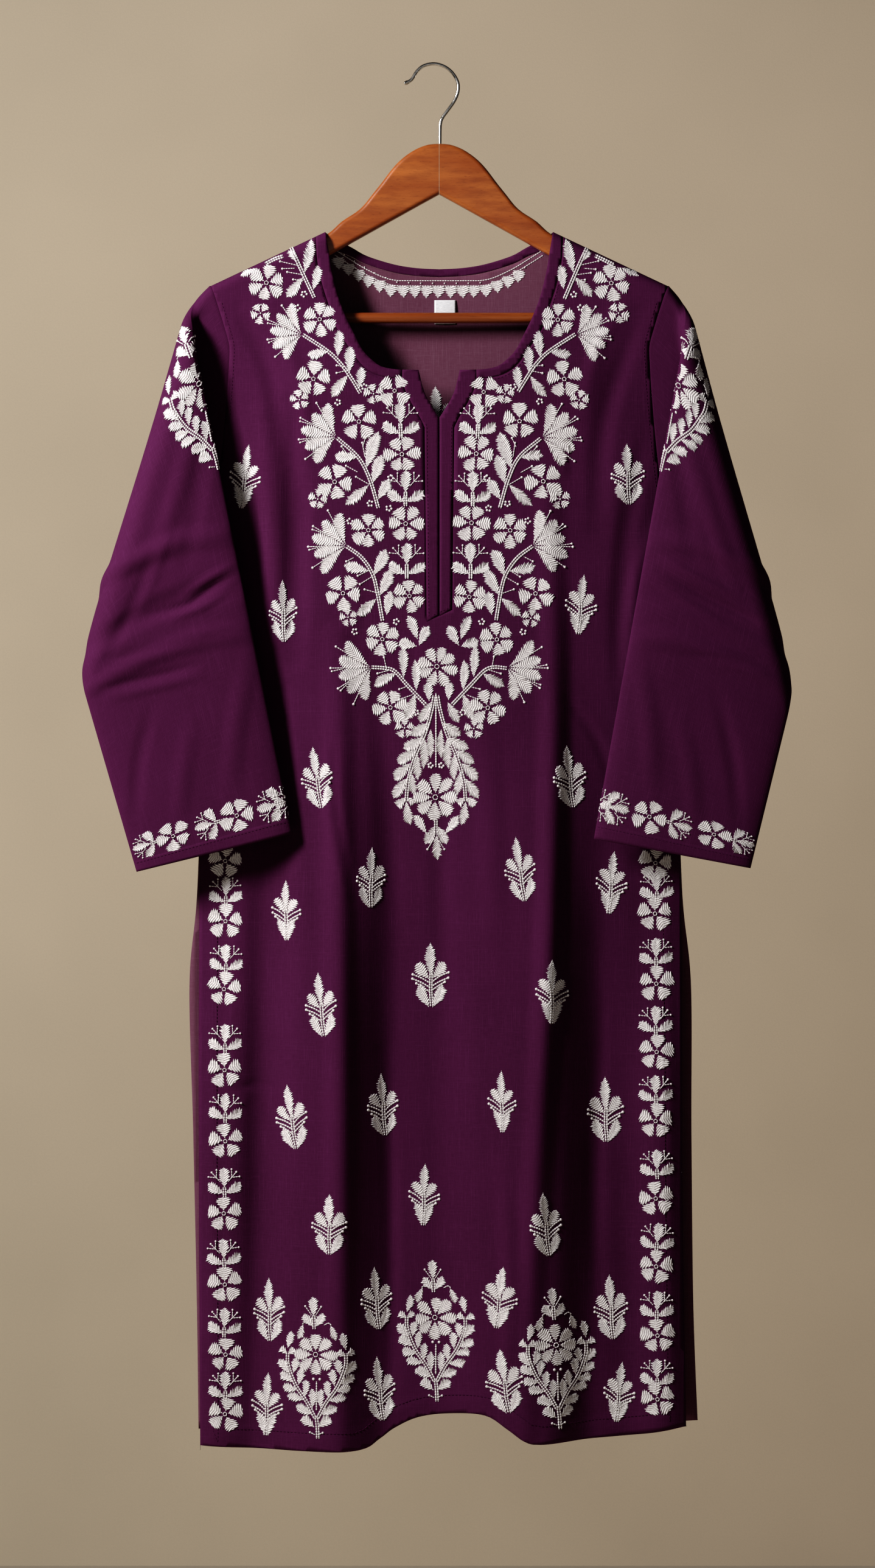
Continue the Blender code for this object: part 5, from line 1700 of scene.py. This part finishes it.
def make_arm(side):
    """One arm of the hanger: its outline drawn flat, extruded and rounded."""
    covered = [(v, shoulder_z(v) - CLOTH_OVER_WOOD) for v in ARM_COVERED_TOP]
    top = spline(list(ARM_VISIBLE_TOP) + covered, 0.005)
    end = spline([covered[-1]] + list(ARM_END), 0.0025)
    outline = np.concatenate([top, end[1:], np.array(ARM_UNDERSIDE)])
    bpy.ops.mesh.primitive_circle_add(vertices=len(outline), radius=0.1, fill_type="NGON")
    arm = bpy.context.object
    name = "left" if side < 0 else "right"
    arm.name = "wooden_arm_" + name
    joint_x = CENTRE_X + side * HANGER_JOINT_GAP / 2.0
    for vertex, (half, z) in zip(arm.data.vertices, outline):
        x = CENTRE_X + side * half if half > 0.0 else joint_x
        vertex.co = (x, -HANGER_THICKNESS / 2.0, z)
    bpy.ops.object.mode_set(mode="EDIT")
    bpy.ops.mesh.select_all(action="SELECT")
    bpy.ops.mesh.extrude_region_move(TRANSFORM_OT_translate={"value": (0, HANGER_THICKNESS, 0)})
    bpy.ops.mesh.select_all(action="SELECT")
    bpy.ops.mesh.normals_make_consistent(inside=False)
    bpy.ops.object.mode_set(mode="OBJECT")
    weights = arm.data.attributes.new("bevel_weight_edge", "FLOAT", "EDGE")
    for edge in arm.data.edges:
        first, second = (arm.data.vertices[index].co for index in edge.vertices)
        level = abs(first.y - second.y) < 1e-6
        at_joint = abs(first.x - joint_x) < 1e-6 and abs(second.x - joint_x) < 1e-6
        weights.data[edge.index].value = 1.0 if level and not at_joint else 0.0
    rounding = arm.modifiers.new("rounding", "BEVEL")
    rounding.limit_method = "WEIGHT"
    rounding.width = ARM_ROUNDING
    rounding.segments = 6
    apply_modifiers(arm)
    arm.data.materials.clear()
    arm.data.materials.append(WOOD_ARMS)
    pick(arm)
    bpy.ops.object.shade_smooth_by_angle(angle=math.radians(40.0))
    settle(arm)
    return stand_for(arm, "hanger_arm_" + name)


def settle(piece):
    """Put a piece's place, turn and scale into its mesh."""
    pick(piece)
    bpy.ops.object.transform_apply(location=True, rotation=True, scale=True)


def make_bar():
    """Turned trouser bar with eased ends."""
    bpy.ops.mesh.primitive_cylinder_add(
        vertices=40, radius=BAR_RADIUS, depth=2.0 * BAR_HALF_LENGTH,
        location=(CENTRE_X, 0.0, BAR_Z), rotation=(0.0, math.radians(90.0), 0.0))
    bar = bpy.context.object
    bar.name = "wooden_trouser_bar"
    settle(bar)
    easing = bar.modifiers.new("easing", "BEVEL")
    easing.width = 0.0008
    easing.segments = 3
    easing.limit_method = "ANGLE"
    apply_modifiers(bar)
    bar.data.materials.append(WOOD_BAR_PAINTED_SHADE)
    pick(bar)
    bpy.ops.object.shade_smooth_by_angle(angle=math.radians(40.0))
    return stand_for(bar, "trouser_bar")


def make_hook():
    """Bent wire hook with a small ball tip, drawn as a round line."""
    path = bpy.data.curves.new("steel_hook", "CURVE")
    path.dimensions = "3D"
    path.bevel_depth = WIRE_RADIUS
    path.bevel_resolution = 5
    path.use_fill_caps = True
    line = spline(HOOK_LINE, 0.0022)
    stretch = path.splines.new("POLY")
    stretch.points.add(len(line) - 1)
    travelled = lengths_along(line)
    for point, (x, z), distance in zip(stretch.points, line, travelled):
        point.co = (x, 0.0, z, 1.0)
        swell = max(0.0, 1.0 - distance / (2.0 * TIP_BALL_RADIUS))
        point.radius = 1.0 + (TIP_BALL_RADIUS / WIRE_RADIUS - 1.0) * math.sqrt(swell)
    stretch.points[0].radius = 0.9
    wire = bpy.data.objects.new("steel_hook", path)
    bpy.context.scene.collection.objects.link(wire)
    pick(wire)
    bpy.ops.object.convert(target="MESH")
    hook = bpy.context.object
    hook.name = "steel_hook"
    bpy.ops.object.mode_set(mode="EDIT")
    bpy.ops.mesh.select_all(action="SELECT")
    bpy.ops.mesh.remove_doubles(threshold=0.00001)
    bpy.ops.mesh.normals_make_consistent(inside=False)
    bpy.ops.object.mode_set(mode="OBJECT")
    hook.data.materials.clear()
    hook.data.materials.append(STEEL)
    bpy.ops.object.shade_smooth_by_angle(angle=math.radians(50.0))
    return stand_for(hook, "hanger_hook")


# Size label inside the back neck
LABEL_LEFT = -0.0045
LABEL_WIDTH = 0.0201
LABEL_TOP_Z = -0.2205
LABEL_HEIGHT = 0.0225
LABEL_CLEARANCE = 0.0009
LABEL_WALL = 0.0005
LABEL_ROWS = 18
LABEL_COLUMNS = 14


def make_label():
    """Blank woven tape, a little bowed."""
    points = []
    uvs = []
    for row in range(LABEL_ROWS + 1):
        down = row / LABEL_ROWS
        for column in range(LABEL_COLUMNS + 1):
            across = column / LABEL_COLUMNS
            u = LABEL_LEFT + LABEL_WIDTH * across
            z = LABEL_TOP_Z - LABEL_HEIGHT * down
            inner = float(back_panel.out(np.array([u]), np.array([z]))[0]) - CLOTH
            bow = 0.0008 * math.sin(math.pi * down) + 0.0004 * math.sin(math.pi * across)
            points.append((CENTRE_X + u, inner - LABEL_CLEARANCE - bow, z))
            uvs.append((u, z))
    faces = []
    for row in range(LABEL_ROWS):
        for column in range(LABEL_COLUMNS):
            first = row * (LABEL_COLUMNS + 1) + column
            below = first + LABEL_COLUMNS + 1
            faces.append((first, below, below + 1, first + 1))
    label = mesh_piece("blank_label", points, faces, (TAPE,), uvs)
    thicken(label, LABEL_WALL, 0)
    return stand_for(label, "size_label")


# Stage, light and view; lamps in columns: name, place, target, size, power, colour
WALL_LEFT = (0.665, 0.556, 0.415)
WALL_RIGHT = (0.685, 0.550, 0.405)
FLOOR_COLOUR = (0.50, 0.44, 0.36)
LAMPS = (
    ("window_light", (-1.72, -1.16, 0.52), (0.0, 0.0, -0.54), (0.4, 0.8), 92.0,
     (1.0, 0.985, 0.965)),
    ("front_fill", (0.6, -4.2, -0.1), (0.0, 0.0, -0.7), (2.4, 2.4), 5.5, (1.0, 0.98, 0.97)),
)
ROOM_COLOUR = (0.95, 0.95, 1.0, 1.0)
ROOM_LIGHT = 0.035
CAMERA_PLACE = (0.0029, -4.02, -0.6795)
CAMERA_FIELD = 20.9
# The photo's deep shadows; columns: light level, level shown
PHOTO_TONES = ((0.012, 0.004), (0.035, 0.019), (0.070, 0.053), (0.120, 0.110), (0.300, 0.310))


def add_plane(name, size, place, turn, finish):
    """A flat part of the room, which is not part of the object."""
    bpy.ops.mesh.primitive_plane_add(
        size=size, location=place, rotation=(math.radians(turn), 0.0, 0.0))
    plane = bpy.context.object
    plane.name = name
    plane.data.materials.append(finish)


def make_stage():
    """Pale wall behind and pale floor below."""
    add_plane("backdrop", 12.0, (0.0, 1.8, -0.6), 90.0, plain_stage(
        "pale_wall", WALL_LEFT, WALL_RIGHT, 420.0))
    add_plane("floor", 8.0, (0.0, -2.0, -1.75), 0.0, plain_stage(
        "pale_floor", FLOOR_COLOUR, FLOOR_COLOUR, 60.0))


def add_area(name, place, target, size, power, colour):
    """A rectangular lamp that faces a target."""
    data = bpy.data.lights.new(name, "AREA")
    data.shape = "RECTANGLE"
    data.size = size[0]
    data.size_y = size[1]
    data.energy = power
    data.color = colour
    lamp = bpy.data.objects.new(name, data)
    lamp.location = place
    way = Vector(target) - Vector(place)
    lamp.rotation_euler = way.to_track_quat("-Z", "Y").to_euler()
    bpy.context.scene.collection.objects.link(lamp)


def light_and_camera():
    """A low window on the left, a faint fill, the view's tones and the photo's camera."""
    for lamp in LAMPS:
        add_area(*lamp)
    world = bpy.data.worlds.new("room")
    world.use_nodes = True
    background = world.node_tree.nodes["Background"]
    background.inputs["Color"].default_value = ROOM_COLOUR
    background.inputs["Strength"].default_value = ROOM_LIGHT
    bpy.context.scene.world = world
    view = bpy.context.scene.view_settings
    view.view_transform = "Standard"
    view.use_curve_mapping = True
    curve = view.curve_mapping.curves[3]
    for level, shown in PHOTO_TONES:
        curve.points.new(level, shown)
    view.curve_mapping.update()
    data = bpy.data.cameras.new("photo_view")
    data.sensor_fit = "VERTICAL"
    data.angle_y = math.radians(CAMERA_FIELD)
    camera = bpy.data.objects.new("photo_view", data)
    camera.location = CAMERA_PLACE
    camera.rotation_euler = (math.radians(90.0), 0.0, 0.0)
    bpy.context.scene.collection.objects.link(camera)
    bpy.context.scene.camera = camera


def make_cloth():
    """All the cloth: front, back, sleeves, neck bindings and placket strips."""
    front = make_front()
    back = make_back()
    for name in SLEEVES:
        make_sleeve(name)
    for side in (-1, 1):
        make_front_band(side)
        make_placket(side)
    make_back_band()


def make_embroidery():
    """All the white work; its order is the order in which the random numbers are drawn."""
    for side in (-1, 1):
        yoke_side(side)
    yoke_foot()
    scatter("embroidery_buttas_front", front_panel, BUTTAS)
    hem_paisleys("embroidery_hem_front", front_panel, PAISLEYS)
    side_bands("embroidery_sides_front", front_panel, (
        (-202, LEFT_BAND_FLOWERS, LEFT_BAND_SPRIGS),
        (205, RIGHT_BAND_FLOWERS, RIGHT_BAND_SPRIGS)))
    scatter("embroidery_buttas_back", back_panel, BACK_BUTTAS)
    hem_paisleys("embroidery_hem_back", back_panel, BACK_PAISLEYS)
    side_bands("embroidery_sides_back", back_panel, (
        (-203, LEFT_BAND_FLOWERS[1:-1], LEFT_BAND_SPRIGS[1:]),
        (206, RIGHT_BAND_FLOWERS[1:-1], RIGHT_BAND_SPRIGS[1:])))
    for name in SLEEVES:
        sleeve_work(name)
    inside_neck_row()


light_and_camera()
make_stage()
make_cloth()
for arm_side in (-1, 1):
    make_arm(arm_side)
make_bar()
make_hook()
make_label()
make_embroidery()
machine_stitching()
for sleeve_name in SLEEVES:
    sleeve_stitching(sleeve_name)
bpy.context.view_layer.update()
